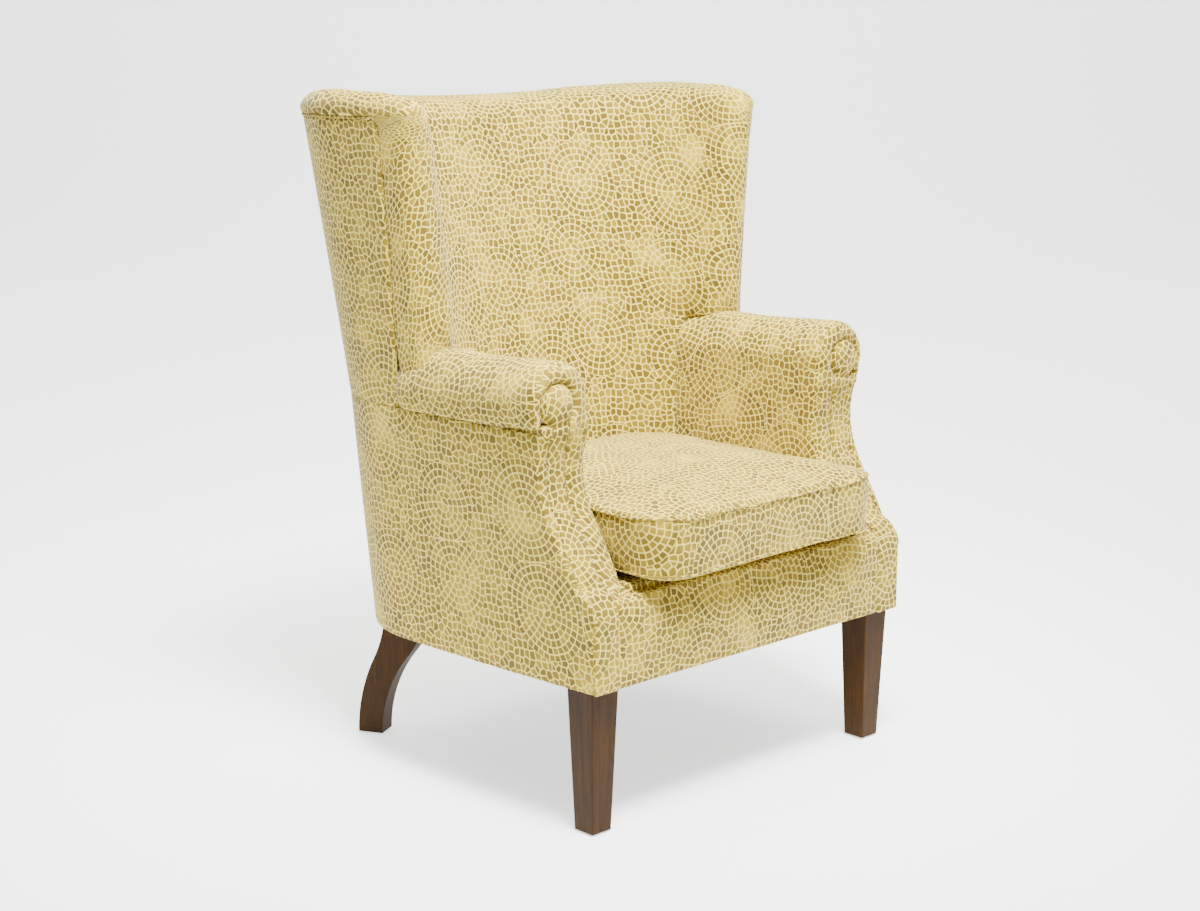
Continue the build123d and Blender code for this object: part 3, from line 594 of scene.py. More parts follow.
def outsideChart(points, facing):
    x, y, z = np.abs(points[:, 0]), points[:, 1], points[:, 2]
    cornerY = np.interp(z, tub["heights"], tub["outsideCornerY"])
    centreX = np.interp(z, tub["heights"], tub["outsideHalf"]) - tub["outsideRadius"]
    turn = np.arctan2(np.maximum(y - cornerY, 0), np.maximum(x - centreX, 1e-6))
    along = np.where(y < cornerY, y - cornerY, tub["outsideRadius"] * turn) + np.maximum(centreX - x, 0)
    frontFace = facing[:, 1] < -0.75
    along = np.where(frontFace, -x, along)
    return np.column_stack((along * np.sign(points[:, 0]), z))


def hollowChart(points, facing):
    x, y, z = np.abs(points[:, 0]), points[:, 1], points[:, 2]
    half = np.interp(z, tub["hollowHeights"], tub["hollowHalf"])
    cornerY = np.interp(z, tub["hollowHeights"], tub["hollowCornerY"])
    radius = np.interp(z, tub["hollowHeights"], tub["hollowRadius"])
    centreX = half - radius
    turn = np.arctan2(np.maximum(y - cornerY, 0), np.maximum(x - centreX, 1e-6))
    along = np.minimum(x, centreX) + radius * (math.pi / 2 - turn) + np.maximum(cornerY - y, 0)
    rho = np.hypot(np.maximum(x - centreX, 0), np.maximum(y - cornerY, 0))
    depth = np.where(y < cornerY, x - half, np.where(x > centreX, rho - radius, y - cornerY - radius))
    outer = (facing[:, 0] * np.sign(points[:, 0]) > 0.1) | ((facing[:, 1] > 0.1) & (y > cornerY))
    onRoll = z > panelTop
    over = np.where(onRoll & outer, 2 * backHigh.z - z, z) + np.clip(depth, 0, 0.08) * ease(z, 0.98, 1.02)
    nose = (y < noseFront + 0.07) & ~onRoll
    front = np.where(outer, 1, ease(noseFront + 0.03 - y, 0, 0.03))
    along = along + np.where(nose, np.clip(depth, 0, 0.08) * front, 0)
    along = np.where(nose & outer, along + 2 * (y - noseFront), along)
    return np.column_stack((along * np.sign(points[:, 0]), over))


arm = {
    "rollRadius": 57.5 * mm,
    "rollX": 307.5 * mm,
    "rollFrontZ": 627 * mm,
    "fall": 15 * mm,
    "front": -254 * mm,
    "scrollX": 315 * mm,
    "scrollZ": 622 * mm,
    "scrollRadius": 31 * mm,
}


def armAxisZ(y):
    return arm["rollFrontZ"] - arm["fall"] * (y - arm["front"]) / (armRear - arm["front"])


def armChart(points, facing):
    x, y, z = np.abs(points[:, 0]), points[:, 1], points[:, 2]
    rise = z - armAxisZ(y)
    inwards = arm["rollX"] - x
    turn = np.arctan2(rise, inwards)
    turn = np.where(turn < -math.pi / 2, turn + 2 * math.pi, turn)
    around = armAxisZ(y) + np.where((rise < 0) & (inwards > 0), rise, arm["rollRadius"] * turn)
    frontFace = facing[:, 1] < -0.6
    u = np.where(frontFace, y - np.clip(x - 0.25, 0, 0.2), y)
    v = np.where(frontFace, z, around)
    return np.column_stack((u * np.sign(points[:, 0]), v))


def frontChart(points, facing):
    lean = np.where(facing[:, 2] > 0.6, points[:, 1] - borderLow.y, 0.0)
    return np.column_stack((points[:, 0], points[:, 2] + lean))


# The facing's front follows its S-curve, and its narrow sides turn the corner
def facingChart(points, facing):
    x, y, z = points[:, 0], points[:, 1] - borderLow.y, points[:, 2]
    turned = np.where(np.abs(facing[:, 0]) > 0.6, np.sign(facing[:, 0]) * y, 0.0)
    return np.column_stack((x + turned, z + 0.42 * y))


def cushionChart(points, facing):
    x, y, z = points[:, 0], points[:, 1], points[:, 2]
    radius = 60 * mm
    centreX = coreHigh.x - radius
    centreY = coreLow.y + radius
    turn = np.arctan2(np.maximum(np.abs(x) - centreX, 0), np.maximum(centreY - y, 1e-6))
    around = np.minimum(np.abs(x), centreX) + radius * turn + np.maximum(y - centreY, 0)
    flat = np.abs(facing[:, 2]) > 0.62
    u = np.where(flat, x, np.sign(x) * around)
    v = np.where(flat, y, z)
    return np.column_stack((u, v))


# Seams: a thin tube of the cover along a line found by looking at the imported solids

def seamTube(name, points, radius, body="chair"):
    curve = bpy.data.curves.new(name, "CURVE")
    curve.dimensions = "3D"
    curve.bevel_depth = radius
    curve.bevel_resolution = 3
    curve.use_fill_caps = True
    spline = curve.splines.new("POLY")
    spline.points.add(len(points) - 1)
    for target, point in zip(spline.points, points):
        target.co = (*point, 1)
    holder = bpy.data.objects.new(name, curve)
    scene.collection.objects.link(holder)
    depsgraph = bpy.context.evaluated_depsgraph_get()
    mesh = bpy.data.meshes.new_from_object(holder.evaluated_get(depsgraph))
    bpy.data.objects.remove(holder)
    piece = bpy.data.objects.new(name, mesh)
    scene.collection.objects.link(piece)
    while mesh.uv_layers:
        mesh.uv_layers.remove(mesh.uv_layers[0])
    layCloth(piece, lambda p, f: np.column_stack((p[:, 0] + p[:, 1], p[:, 2])))
    finishPiece(piece, body, cotton, [])


# Points on a surface, seen from outside along level lines towards the chair's middle
def seen(tree, starts, targets, sink):
    found = []
    for start, target in zip(starts, targets):
        heading = (target - start).normalized()
        hit = tree.ray_cast(start, heading)
        if hit[0] is not None:
            found.append(hit[0] + heading * sink)
    return found


# Loose seat cushion: boxed, crowned, seamed at top and bottom of its boxing

cushionSettings = {
    "voxel": 6 * mm,
    "rounds": 3,
    "grow": -1 * mm,
    "pressure": 4.0,
    "frames": 14,
    "cap": 8 * mm,
    "hold": 14 * mm,
    "corner": 80 * mm,
    "earOut": 4 * mm,
    "earForward": 2 * mm,
    "earUp": 5 * mm,
    "earFoot": 0.40,
    "upperSeam": 459 * mm,
    "lowerSeam": 378 * mm,
    "seamWidth": 4 * mm,
    "seamOut": 1.8 * mm,
    "seamFacing": (0.8, 0.95),
    "uprightFacing": (0.7, 0.95),
    "grooveAway": 9 * mm,
    "grooveShare": 0.6,
    "wave": 0.8 * mm,
    "waveLength": 105 * mm,
    "waveSlant": 0.7,
    "droop": 5 * mm,
    "droopFront": (-0.30, -0.39),
    "droopSides": (0.2, -0.2),
    "cord": 1.5 * mm,
    "cordOut": 0.7 * mm,
    "boxingMiddle": 0.42,
    "bottom": 0.375,
    "settle": 2 * mm,
    "seatFront": -0.25,
    "armPress": 2.4 * mm,
    "printShift": (0.31, 0.07),
}
fillingSettings = {"voxel": 10 * mm, "rounds": 4, "grow": -12 * mm}


def seamHeight(x, y, base, settings):
    wave = np.sin((x + settings["waveSlant"] * y) * 2 * math.pi / settings["waveLength"]) * settings["wave"]
    nearCorner = np.hypot(np.abs(x) - coreHigh.x, y - coreLow.y)
    ear = ease(nearCorner, settings["corner"], 0)
    return base + wave + ear * settings["earUp"] * (base > settings["boxingMiddle"])


def makeCushion(settings):
    piece, free = netOver("cushion_core", "seatCushion", settings)
    heights = coordsOf(piece.data)[:, 2]
    upright = 1 - ease(np.abs(normalsOf(piece.data)[:, 2]), *settings["uprightFacing"])
    for base in (settings["upperSeam"], settings["lowerSeam"]):
        free *= 1 - upright * np.exp(-(((heights - base) / settings["hold"]) ** 2))
    swell(piece, free, settings)
    coords = coordsOf(piece.data)
    x, y, z = coords.T
    nearCorner = np.hypot(np.abs(x) - coreHigh.x, y - coreLow.y)
    ear = ease(nearCorner, settings["corner"], 0) * ease(z, settings["earFoot"], settings["upperSeam"])
    coords[:, 0] += np.sign(x) * ear * settings["earOut"]
    coords[:, 1] -= ear * settings["earForward"]
    coords[:, 2] += ear * settings["earUp"]
    forward = ease(y, *settings["droopFront"])
    underside = ease(z, settings["boxingMiddle"], settings["bottom"])
    coords[:, 2] -= forward * underside * settings["droop"] * ease(x, *settings["droopSides"])
    setCoords(piece.data, coords)
    out = normalsOf(piece.data)
    x, y, z = coords.T
    for base in (settings["upperSeam"], settings["lowerSeam"]):
        rise = z - seamHeight(x, y, base, settings)
        beside = rise + settings["grooveAway"] * np.sign(base - settings["boxingMiddle"])
        groove = settings["grooveShare"] * np.exp(-((beside / settings["seamWidth"]) ** 2))
        ridge = np.exp(-((rise / settings["seamWidth"]) ** 2)) - groove
        onSide = 1 - ease(np.abs(out[:, 2]), *settings["seamFacing"])
        coords += out * (ridge * settings["seamOut"] * onSide)[:, None]
    inSeat = y > settings["seatFront"]
    limit = coreHigh.x + settings["armPress"]
    coords[:, 0] = np.where(inSeat, np.clip(coords[:, 0], -limit, limit), coords[:, 0])
    settled = np.maximum(coords[:, 2], coreLow.z - settings["settle"])
    coords[:, 2] = np.where(y > borderLow.y, settled, coords[:, 2])
    setCoords(piece.data, coords)
    layCloth(piece, cushionChart, settings["printShift"])
    subdivided(piece)
    finishPiece(piece, "cushion", cotton, ["cushion_cover"])

    tree = BVHTree.FromPolygons([Vector(c) for c in coords], [p.vertices[:] for p in piece.data.polygons])
    middle = Vector((0, (coreLow.y + coreHigh.y) / 2, 0))
    for level in ("upper", "lower"):
        base = settings[f"{level}Seam"]
        points = []
        for step in range(361):
            turn = math.radians(step)
            heading = Vector((math.cos(turn), math.sin(turn), 0))
            height = base
            for attempt in range(3):
                place = middle + Vector((0, 0, height))
                hit = tree.ray_cast(place + heading, -heading)[0]
                height = float(seamHeight(hit.x, hit.y, base, settings))
            points.append(hit + heading * settings["cordOut"])
        seamTube(f"cushionSeam.{level}", points, settings["cord"], "cushion")

    filling = netOver("cushion_core", "cushionFilling", fillingSettings)[0]
    finishPiece(filling, "cushion", foam, ["cushion_core"])
    print("cushion ready")


# Inside back and wings, rolled over the top

backSettings = {
    "voxel": 9 * mm,
    "rounds": 3,
    "near": 3 * mm,
    "far": 34 * mm,
    "seamFill": 2.5 * mm,
    "pressure": 3.0,
    "frames": 12,
    "cap": 6 * mm,
    "neighbours": (
        "outside_wing_left", "outside_wing_right", "outside_back", "inside_arm_left", "inside_arm_right",
        "wing_post_left", "wing_post_right", "back_post_left", "back_post_right", "top_rail",
        "wing_rail_left", "wing_rail_right", "tack_rail", "back_webbing",
    ),
    "rollHeights": (0.93, 1.05),
    "noseDrop": 10 * mm,
    "noseDropDepth": 0.09,
    "noseReach": (8 * mm, 42 * mm),
    "noseReachSides": (0.315, 0.36),
    "noseTuck": 10 * mm,
    "noseTuckSides": (0.35, 0.31),
    "footHeights": (0.705, 0.675),
    "footDepths": (0.066, 0.05),
    "ridge": 2 * mm,
    "ridgeY": 0.17,
    "ridgeWidth": 0.06,
    "ridgeSides": (0.28, 0.34),
    "overhang": 4 * mm,
    "overhangFacing": 0.3,
    "rollLead": 2 * mm,
    "rollFacing": 0.5,
    "creaseDepth": 1.2 * mm,
    "creaseWidth": 18 * mm,
    "creaseX": 205 * mm,
    "creaseFront": 0.06,
    "creaseFacing": (-0.15, -0.6),
    "creaseFoot": (0.6, 0.75),
    "creaseHead": (1.02, 0.9),
    "printShift": (0.02, 0.03),
    "seamInset": 1.5 * mm,
    "noseSeam": (5 * mm, 4 * mm),  # sink and radius
    "noseSeamDrop": 45 * mm,
    "backSeam": (2.2 * mm, 2.4 * mm),
    "backSeamFoot": 226 * mm,
    "outsideX": 0.7,
    "outsideY": 0.9,
    "rimMiddleY": 0.16,
    "rimSweep": (-14, 194, 220),  # from and to in degrees, and points
}


def makeBack(settings):
    piece, free = netOver("inside_back", "insideBack", settings)
    swell(piece, free, settings)
    coords = coordsOf(piece.data)
    out = normalsOf(piece.data)
    x, y, z = coords.T
    high = ease(z, *settings["rollHeights"])
    coords[:, 2] -= high * settings["noseDrop"] * ease(y, settings["noseDropDepth"], 0.0)
    ridge = np.exp(-(((y - settings["ridgeY"]) / settings["ridgeWidth"]) ** 2))
    coords[:, 2] += high * settings["ridge"] * ridge * ease(np.abs(x), *settings["ridgeSides"])
    # The nose's foot, down on the arm roll
    low = ease(z, *settings["footHeights"]) * ease(y, *settings["footDepths"])
    reachDown, reachMore = settings["noseReach"]
    coords[:, 2] -= low * (reachDown + reachMore * ease(np.abs(x), *settings["noseReachSides"]))
    coords[:, 1] += low * settings["noseTuck"] * ease(np.abs(x), *settings["noseTuckSides"])
    roll = hump(z, panelTop - settings["rollLead"], backHigh.z)
    roll *= np.hypot(out[:, 0], out[:, 1]) > settings["rollFacing"]
    outward = np.maximum(out[:, 0] * np.sign(x), out[:, 1]) > settings["overhangFacing"]
    coords[:, :2] += out[:, :2] * (roll * outward * settings["overhang"])[:, None]
    crease = np.exp(-(((np.abs(x) - settings["creaseX"]) / settings["creaseWidth"]) ** 2))
    inner = ease(out[:, 1], *settings["creaseFacing"]) * ease(z, *settings["creaseFoot"])
    inner *= ease(z, *settings["creaseHead"]) * (y > settings["creaseFront"])
    coords -= out * (crease * inner * settings["creaseDepth"])[:, None]
    setCoords(piece.data, coords)
    layCloth(piece, hollowChart, settings["printShift"])
    subdivided(piece)
    finishPiece(piece, "chair", cotton, ["inside_back"])

    roundTree = treeOver(["inside_back"])
    walls = [f"outside_{part}_{side}" for part in ("wing", "arm") for side, sign in sides]
    wallTree = treeOver(walls + ["outside_back"])
    sink, radius = settings["noseSeam"]
    heights = np.linspace(rollSeam + 2 * mm, panelTop - 1 * mm, 60)
    heights = [h for h in heights if h > armHigh.z - settings["noseSeamDrop"]]
    for side, sign in sides:
        place = armRear - settings["seamInset"]
        starts = [Vector((sign * settings["outsideX"], place, h)) for h in heights]
        targets = [Vector((0, place, s.z)) for s in starts]
        seamTube(f"noseSeam.{side}", seen(roundTree, starts, targets, sink), radius)
    around = [math.radians(a) for a in np.linspace(*settings["rimSweep"])]
    rims = (
        ("topPiping", panelTop + 1.5 * mm, roundTree, -0.6 * mm, 2.4 * mm),
        ("shoulderSeam", rollSeam, wallTree, 2.6 * mm, 2.6 * mm),
    )
    for name, height, tree, sink, radius in rims:
        target = Vector((0, settings["rimMiddleY"], height))
        starts = [target + Vector((math.cos(turn), math.sin(turn), 0)) for turn in around]
        points = seen(tree, starts, [target] * len(starts), sink)
        points = [p for p in points if p.y > armRear - 1 * mm]
        seamTube(name, points, radius)
    sink, radius = settings["backSeam"]
    heights = np.linspace(cadLow.z + settings["backSeamFoot"], panelTop, 70)
    for side, sign in sides:
        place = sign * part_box("outside_back")[1].x
        starts = [Vector((place, settings["outsideY"], h)) for h in heights]
        targets = [Vector((place, 0, s.z)) for s in starts]
        seamTube(f"backSeam.{side}", seen(wallTree, starts, targets, sink), radius)
    print("back ready")


# Arms: padded slab and roll, the shaped facing, and the outside panels

armSettings = {
    "voxel": 5 * mm,
    "rounds": 3,
    "near": 2 * mm,
    "far": 20 * mm,
    "seamFill": 1.6 * mm,
    "pressure": 3.0,
    "frames": 12,
    "cap": 4 * mm,
    "bullnose": 17 * mm,
    "bullnoseRound": 0.96,
    "bullnoseShare": 0.9,
    "bullnoseRise": (-34 * mm, -14 * mm),
    "endRound": 26 * mm,
    "endRoundness": 0.85,
    "endAcross": 30 * mm,
    "endRise": (-46 * mm, -30 * mm),
    "endDraw": 0.3,
    "tuck": 6 * mm,
    "tuckLength": 8 * mm,
    "crest": 4 * mm,
    "crestRise": (20 * mm, 50 * mm),
    "curl": 3.5 * mm,
    "curlFade": 8 * mm,
    "curlDepth": 10 * mm,
    "sink": 6 * mm,
    "sinkHeights": (0.40, 0.355),
    "sinkFront": (-0.27, -0.31),
    "seatClear": 0.4 * mm,
    "printShift": (0.11, 0.02),
    "crestY": -25 * mm,
    "crestLength": 38 * mm,
    "seamX": 336 * mm,
    "seamRise": 4 * mm,
    "seamLead": 1 * mm,
    "seamRadius": 9 * mm,
    "foldSize": (64 * mm, 12 * mm, 96 * mm),
    "foldOuterX": 350 * mm,
    "foldRounding": 4 * mm,
}
facingSettings = {
    "voxel": 3 * mm,
    "rounds": 2,
    "near": 1 * mm,
    "far": 12 * mm,
    "seamFill": 1.4 * mm,
    "grow": 1.0 * mm,
    "pressure": 3.0,
    "frames": 10,
    "cap": 3 * mm,
    "button": 5 * mm,
    "groove": 4 * mm,
    "grooveShares": (0.75, 1.0),
    "headDrops": (36 * mm, 20 * mm),
    "headDepths": (6 * mm, 2 * mm),
    "printShift": (0.07, 0.05),
}
panelSettings = {"voxel": 2.6 * mm, "rounds": 3, "grow": 1.2 * mm, "puff": 3 * mm}
backPanelSettings = {**panelSettings, "voxel": 3.1 * mm}
hemSettings = {"drop": 4 * mm, "begins": 14 * mm, "full": 3 * mm}


def makeArm(side, sign, settings):
    around = ("arm_facing", "outside_arm", "arm_rail", "outside_wing")
    beside = [f"{part}_{side}" for part in around] + ["inside_back"]
    piece, free = netOver(f"inside_arm_{side}", f"insideArm.{side}", {**settings, "neighbours": beside})
    swell(piece, free, settings)
    coords = coordsOf(piece.data)
    x, y, z = coords.T
    across = x * sign - arm["rollX"]
    rise = z - armAxisZ(y)
    rho = np.hypot(across, rise)
    depth = settings["bullnose"]
    edge = np.clip((rho - (arm["rollRadius"] - depth)) / depth, 0, 1)
    nearFront = ease(arm["front"] - y, -2 * depth, 0) * ease(rise, *settings["bullnoseRise"])
    bulge = 1 - np.sqrt(1 - settings["bullnoseRound"] * edge**2)
    coords[:, 1] += depth * bulge * nearFront * settings["bullnoseShare"]
    end = np.clip((y - (armRear - settings["endRound"])) / settings["endRound"], 0, 1)
    draw = 1 - np.sqrt(1 - settings["endRoundness"] * end**2)
    draw = draw * ease(across, 0, settings["endAcross"]) * ease(rise, *settings["endRise"])
    coords[:, 0] -= sign * across * draw * settings["endDraw"]
    crest = np.exp(-(((y - settings["crestY"]) / settings["crestLength"]) ** 2))
    coords[:, 2] += settings["crest"] * crest * ease(rise, *settings["crestRise"])
    fromScroll = np.hypot(x * sign - arm["scrollX"], z - arm["scrollZ"])
    curl = 1 - ease(fromScroll, arm["scrollRadius"], arm["scrollRadius"] + settings["curlFade"])
    coords[:, 1] += settings["curl"] * curl * ease(arm["front"] - y, -settings["curlDepth"], 0)
    coords[:, 2] -= settings["sink"] * ease(z, *settings["sinkHeights"]) * ease(y, *settings["sinkFront"])
    coords[:, 1] += ease(y, armRear - settings["tuckLength"], armRear) * settings["tuck"]
    inner = armLow.x + settings["seatClear"]
    coords[:, 0] = np.where(coords[:, 0] * sign < inner, sign * inner, coords[:, 0])
    setCoords(piece.data, coords)
    layCloth(piece, armChart, settings["printShift"])
    subdivided(piece)
    finishPiece(piece, "chair", cotton, [f"inside_arm_{side}"])

    height = rollSeam + settings["seamRise"]
    lengths = np.linspace(arm["front"] - settings["seamLead"], armRear, 60)
    run = [Vector((sign * settings["seamX"], place, height)) for place in lengths]
    seamTube(f"rollSeam.{side}", run, settings["seamRadius"])

    # The wing's cover, returned behind the roll's rear end
    bm = bmesh.new()
    bmesh.ops.create_cube(bm, size=1)
    size = Vector(settings["foldSize"])
    bmesh.ops.scale(bm, verts=bm.verts, vec=size)
    middle = Vector((sign * (settings["foldOuterX"] - size.x / 2), armRear - 1 * mm, rollSeam + size.z / 2))
    bmesh.ops.translate(bm, verts=bm.verts, vec=middle)
    bmesh.ops.bevel(
        bm, geom=bm.edges[:], offset=settings["foldRounding"], segments=4, profile=0.5, affect="EDGES",
        material=-1,
    )
    fold = toObject(f"wingReturn.{side}", bm)
    layCloth(fold, frontChart, (0.2, 0.1))
    finishPiece(fold, "chair", cotton, [])


def makeFacing(side, sign, settings):
    beside = (f"inside_arm_{side}", f"outside_arm_{side}", f"arm_post_{side}")
    piece, free = netOver(f"arm_facing_{side}", f"armFacing.{side}", {**settings, "neighbours": beside})
    swell(piece, free, settings)
    coords = coordsOf(piece.data)
    fromScroll = np.hypot(coords[:, 0] * sign - arm["scrollX"], coords[:, 2] - arm["scrollZ"])
    share = np.clip(fromScroll / arm["scrollRadius"], 0, 1.1)
    onHead = ease(coords[:, 2], *[arm["scrollZ"] - drop for drop in settings["headDrops"]])
    onHead *= ease(coords[:, 1], *[arm["front"] + depth for depth in settings["headDepths"]])
    button = settings["button"] * (1 - share**2)
    groove = settings["groove"] * ease(share, *settings["grooveShares"])
    coords[:, 1] -= onHead * button - onHead * groove
    setCoords(piece.data, coords)
    hem(piece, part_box(f"arm_facing_{side}")[0].z)
    layCloth(piece, facingChart, settings["printShift"])
    finishPiece(piece, "chair", cotton, [f"arm_facing_{side}"])


# The lower edge, drawn down a little where the cover is tacked under the frame
def hem(piece, bottom, settings=hemSettings):
    coords = coordsOf(piece.data)
    low = ease(coords[:, 2], bottom + settings["begins"], bottom + settings["full"])
    coords[:, 2] -= settings["drop"] * low
    setCoords(piece.data, coords)


def makePanel(node, name, chart, settings, shift):
    piece = netOver(node, name, settings)[0]
    low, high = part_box(node)
    coords = coordsOf(piece.data)
    out = normalsOf(piece.data)
    outward = np.sum(out[:, :2] * coords[:, :2], axis=1) > 0
    puff = hump(coords[:, 2], low.z, high.z) * settings["puff"] * outward
    coords[:, :2] += out[:, :2] * puff[:, None]
    setCoords(piece.data, coords)
    if low.z < borderLow.z + 5 * mm:
        hem(piece, low.z)
    layCloth(piece, chart, shift)
    finishPiece(piece, "chair", cotton, [node])


borderSettings = {
    "voxel": 5 * mm,
    "rounds": 3,
    "near": 2 * mm,
    "far": 20 * mm,
    "seamFill": 1.5 * mm,
    "pressure": 3.0,
    "frames": 12,
    "cap": 5 * mm,
    "neighbours": ("arm_facing_left", "arm_facing_right", "front_rail", "seat_deck", "dust_cover"),
}


def makeBorder(settings):
    piece, free = netOver("front_border", "frontBorder", settings)
    swell(piece, free, settings)
    hem(piece, borderLow.z)
    layCloth(piece, frontChart, (0.0, 0.0))
    finishPiece(piece, "chair", cotton, ["front_border"])


deckSettings = {"voxel": 8 * mm, "rounds": 3, "stripDepth": 110 * mm, "stripOver": 1 * mm}


# The lined deck, and the strip of cover that laps its front edge under the cushion
def makeDeck(settings):
    piece = netOver("seat_deck", "seatDeck", settings)[0]
    # Painted shade: the deck's lining is coloured near black to stand for the shadow in the gap under the
    # cushion
    finishPiece(piece, "chair", paintedShadeLining, ["seat_deck"])

    strip = netOver("seat_deck", "deckStrip", {**settings, "grow": settings["stripOver"]})[0]
    bm = bmesh.new()
    bm.from_mesh(strip.data)
    cut = Vector((0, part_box("seat_deck")[0].y + settings["stripDepth"], 0))
    bmesh.ops.bisect_plane(
        bm, geom=bm.verts[:] + bm.edges[:] + bm.faces[:], plane_co=cut, plane_no=(0, 1, 0), clear_outer=True
    )
    bmesh.ops.holes_fill(bm, edges=[e for e in bm.edges if e.is_boundary])
    bm.to_mesh(strip.data)
    bm.free()
    layCloth(strip, frontChart, (0.0, 0.0))
    finishPiece(strip, "chair", cotton, [])


# Flat cloths: the node's face cut into a grid, so that it can sag between its fixings

clothSettings = {"grid": 30 * mm, "thickness": 0.8 * mm}


def makeSheet(node, name, material, settings, sag=0.0, turnedIn=0.0):
    low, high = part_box(node)
    bm = bmesh.new()
    bm.from_mesh(frame["nodes"][node].data)
    bmesh.ops.remove_doubles(bm, verts=bm.verts, dist=weld)
    unwanted = [f for f in bm.faces if f.normal.z > -0.9]
    bmesh.ops.delete(bm, geom=unwanted, context="FACES")
    bmesh.ops.dissolve_limit(bm, angle_limit=0.02, verts=bm.verts, edges=bm.edges)
    middle = (low + high) / 2
    reach = (high - low) / 2 - Vector((1, 1, 0)) * turnedIn
    for v in bm.verts:
        v.co.x = middle.x + (v.co.x - middle.x) * reach.x / (high.x - middle.x)
        v.co.y = middle.y + (v.co.y - middle.y) * reach.y / (high.y - middle.y)
    area = sum(f.calc_area() for f in bm.faces)
    for axis in (0, 1):
        step = low[axis] + settings["grid"]
        while step < high[axis]:
            normal = Vector((0, 0, 0))
            normal[axis] = 1
            place = Vector((0, 0, 0))
            place[axis] = step
            bmesh.ops.bisect_plane(
                bm, geom=bm.verts[:] + bm.edges[:] + bm.faces[:], dist=1e-7, plane_co=place, plane_no=normal
            )
            step += settings["grid"]
    for v in bm.verts:
        if not v.is_boundary:
            a = 1 - ((v.co.x - middle.x) / reach.x) ** 2
            b = 1 - ((v.co.y - middle.y) / reach.y) ** 2
            v.co.z -= sag * max(a, 0) * max(b, 0)
    piece = toObject(name, bm)
    solidify = piece.modifiers.new("cloth thickness", "SOLIDIFY")
    solidify.thickness = settings["thickness"]
    solidify.offset = -1
    finishPiece(piece, "chair", material, [node])


strapSettings = {
    "places": (-0.15, -0.05, 0.05, 0.15),
    "width": 0.05,
    "near": 0.03,
    "leastLength": 0.2,
    "cuts": 14,
}


def makeWebbing(settings):
    node = frame["nodes"]["back_webbing"]
    for number, middle in enumerate(settings["places"]):
        bm = bmesh.new()
        bm.from_mesh(node.data)
        bmesh.ops.remove_doubles(bm, verts=bm.verts, dist=weld)
        others = [v for v in bm.verts if abs(v.co.x - middle) > settings["near"]]
        bmesh.ops.delete(bm, geom=others, context="VERTS")
        bmesh.ops.dissolve_limit(bm, angle_limit=0.02, verts=bm.verts, edges=bm.edges)
        lengths = [e for e in bm.edges if e.calc_length() > settings["leastLength"]]
        bmesh.ops.subdivide_edges(bm, edges=lengths, cuts=settings["cuts"], use_grid_fill=True)
        piece = toObject(f"backStrap.{number + 1}", bm)
        nodes = ["back_webbing"] if number == 0 else []
        finishPiece(piece, "chair", strapping, nodes)


makeCushion(cushionSettings)
makeBack(backSettings)
for side, sign in sides:
    makeArm(side, sign, armSettings)
    makeFacing(side, sign, facingSettings)
    makePanel(f"outside_arm_{side}", f"outsideArm.{side}", outsideChart, panelSettings, (0.05, 0.0))
    makePanel(f"outside_wing_{side}", f"outsideWing.{side}", outsideChart, panelSettings, (0.05, 0.0))
makePanel("outside_back", "outsideBack", frontChart, backPanelSettings, (0.0, 0.0))
makeBorder(borderSettings)
makeDeck(deckSettings)
makeSheet("dust_cover", "dustCloth", underCloth, clothSettings, sag=3 * mm, turnedIn=8 * mm)
makeSheet("seat_hessian", "springHessian", sacking, clothSettings)
makeWebbing(strapSettings)
print("covers ready")


# Studio: pale curved backdrop, soft lights and the camera

studio = {
    "cameraPlace": (-2.2528, -2.3653, 1.1337),
    "viewLine": (0.6771, 0.7084, -0.1995),
    "lens": 61.75,
    "backdropDistance": 6.0,
    "backdropWidth": 24.0,
    "backdropRadius": 3.0,
    "paper": "F4F4F3",
    "paperGlow": 1.45,
    "backdropRise": 4.0,
    "worldStrength": 0.2,
    "lamps": (  # name, place, aim, size, power, spread in degrees
        ("softBox", (0.0, -0.5, 5.5), (0, 0, 0.55), 7.0, 600, 180),
        ("keyLight", (-0.55, -1.1, 2.9), (0, 0, 0.55), 0.9, 62, 70),
        ("paperLight", (2.6, 2.7, 4.6), (4.8, 5.0, 0.0), 6.0, 480, 180),
    ),
}


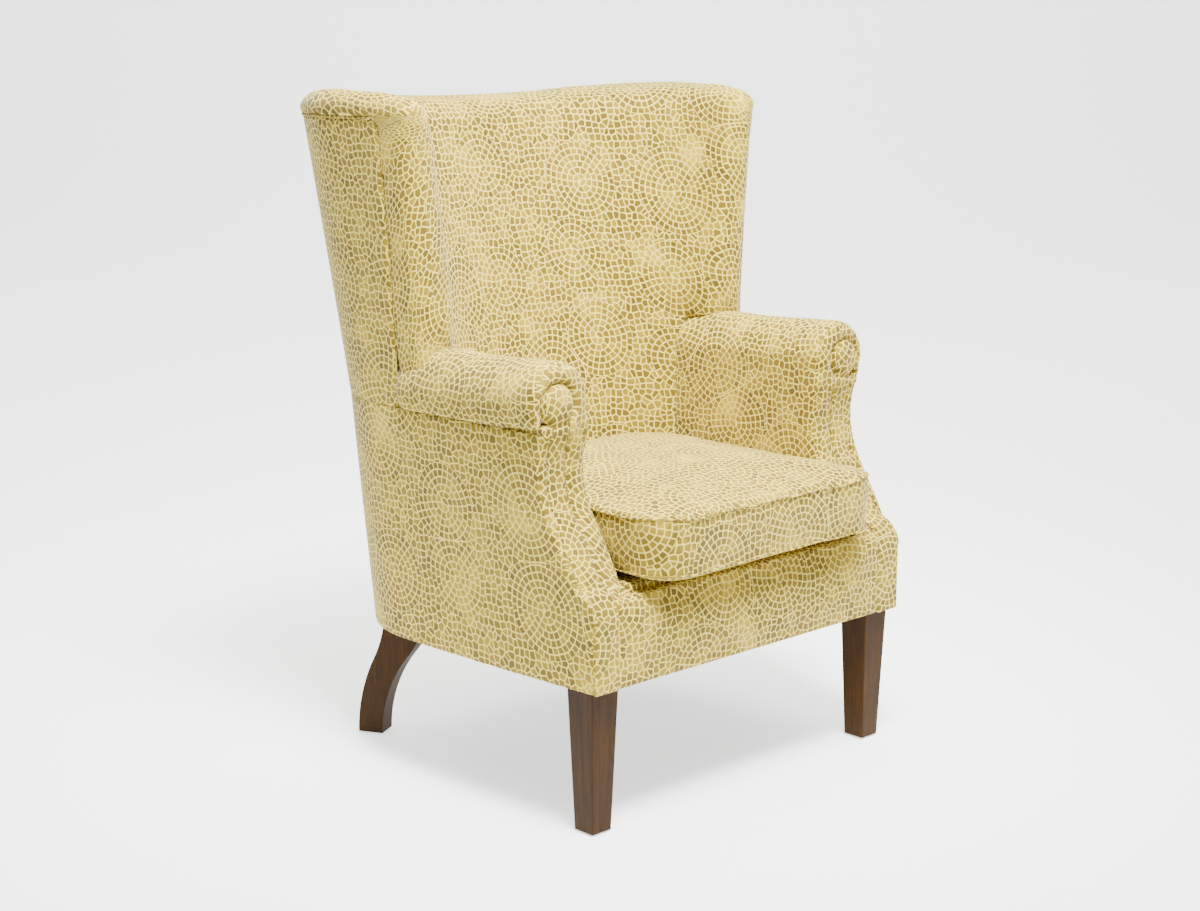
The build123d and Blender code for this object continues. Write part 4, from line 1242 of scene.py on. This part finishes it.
def makeStudio(settings):
    view = Vector(settings["viewLine"])
    flat = Vector((view.x, view.y, 0)).normalized()
    across = Vector((flat.y, -flat.x, 0))
    bm = bmesh.new()
    near = -flat * settings["backdropDistance"]
    bend = flat * settings["backdropDistance"]
    radius = settings["backdropRadius"]
    start = bm.verts.new(near - across * settings["backdropWidth"] / 2)
    corner = bm.verts.new(bend - across * settings["backdropWidth"] / 2)
    bm.edges.new((start, corner))
    made = bmesh.ops.spin(
        bm, geom=[corner], cent=corner.co + Vector((0, 0, radius)), axis=-across, angle=-math.pi / 2, steps=24
    )
    top = made["geom_last"][0]
    rise = bmesh.ops.extrude_vert_indiv(bm, verts=[top])["verts"][0]
    rise.co.z += settings["backdropRise"]
    spread = bmesh.ops.extrude_edge_only(bm, edges=bm.edges[:])
    moved = [g for g in spread["geom"] if isinstance(g, bmesh.types.BMVert)]
    bmesh.ops.translate(bm, verts=moved, vec=across * settings["backdropWidth"])
    bmesh.ops.recalc_face_normals(bm, faces=bm.faces)
    backdrop = toObject("backdrop", bm)
    for polygon in backdrop.data.polygons:
        polygon.use_smooth = True
    material, tree, shader = newMaterial("paperBackdrop")
    shader.inputs["Base Color"].default_value = linear(settings["paper"])
    shader.inputs["Roughness"].default_value = 0.95
    shader.inputs["Specular IOR Level"].default_value = 0.1
    shader.inputs["Emission Color"].default_value = linear(settings["paper"])
    shader.inputs["Emission Strength"].default_value = settings["paperGlow"]
    backdrop.data.materials.append(material)

    world = bpy.data.worlds.new("studioLight")
    scene.world = world
    world.use_nodes = True
    world.node_tree.nodes["Background"].inputs["Color"].default_value = (1, 1, 1, 1)
    world.node_tree.nodes["Background"].inputs["Strength"].default_value = settings["worldStrength"]

    for name, place, aim, size, power, spread in settings["lamps"]:
        light = bpy.data.lights.new(name, "AREA")
        light.size = size
        light.energy = power
        light.spread = math.radians(spread)
        lamp = bpy.data.objects.new(name, light)
        lamp.location = place
        lamp.rotation_mode = "QUATERNION"
        lamp.rotation_quaternion = (Vector(aim) - Vector(place)).to_track_quat("-Z", "Y")
        lamp.visible_camera = False
        scene.collection.objects.link(lamp)

    camera = bpy.data.objects.new("camera", bpy.data.cameras.new("camera"))
    camera.data.lens = settings["lens"]
    camera.data.sensor_width = 36
    camera.location = settings["cameraPlace"]
    camera.rotation_mode = "QUATERNION"
    camera.rotation_quaternion = view.to_track_quat("-Z", "Y")
    scene.collection.objects.link(camera)
    scene.camera = camera
    print("studio ready")


makeStudio(studio)
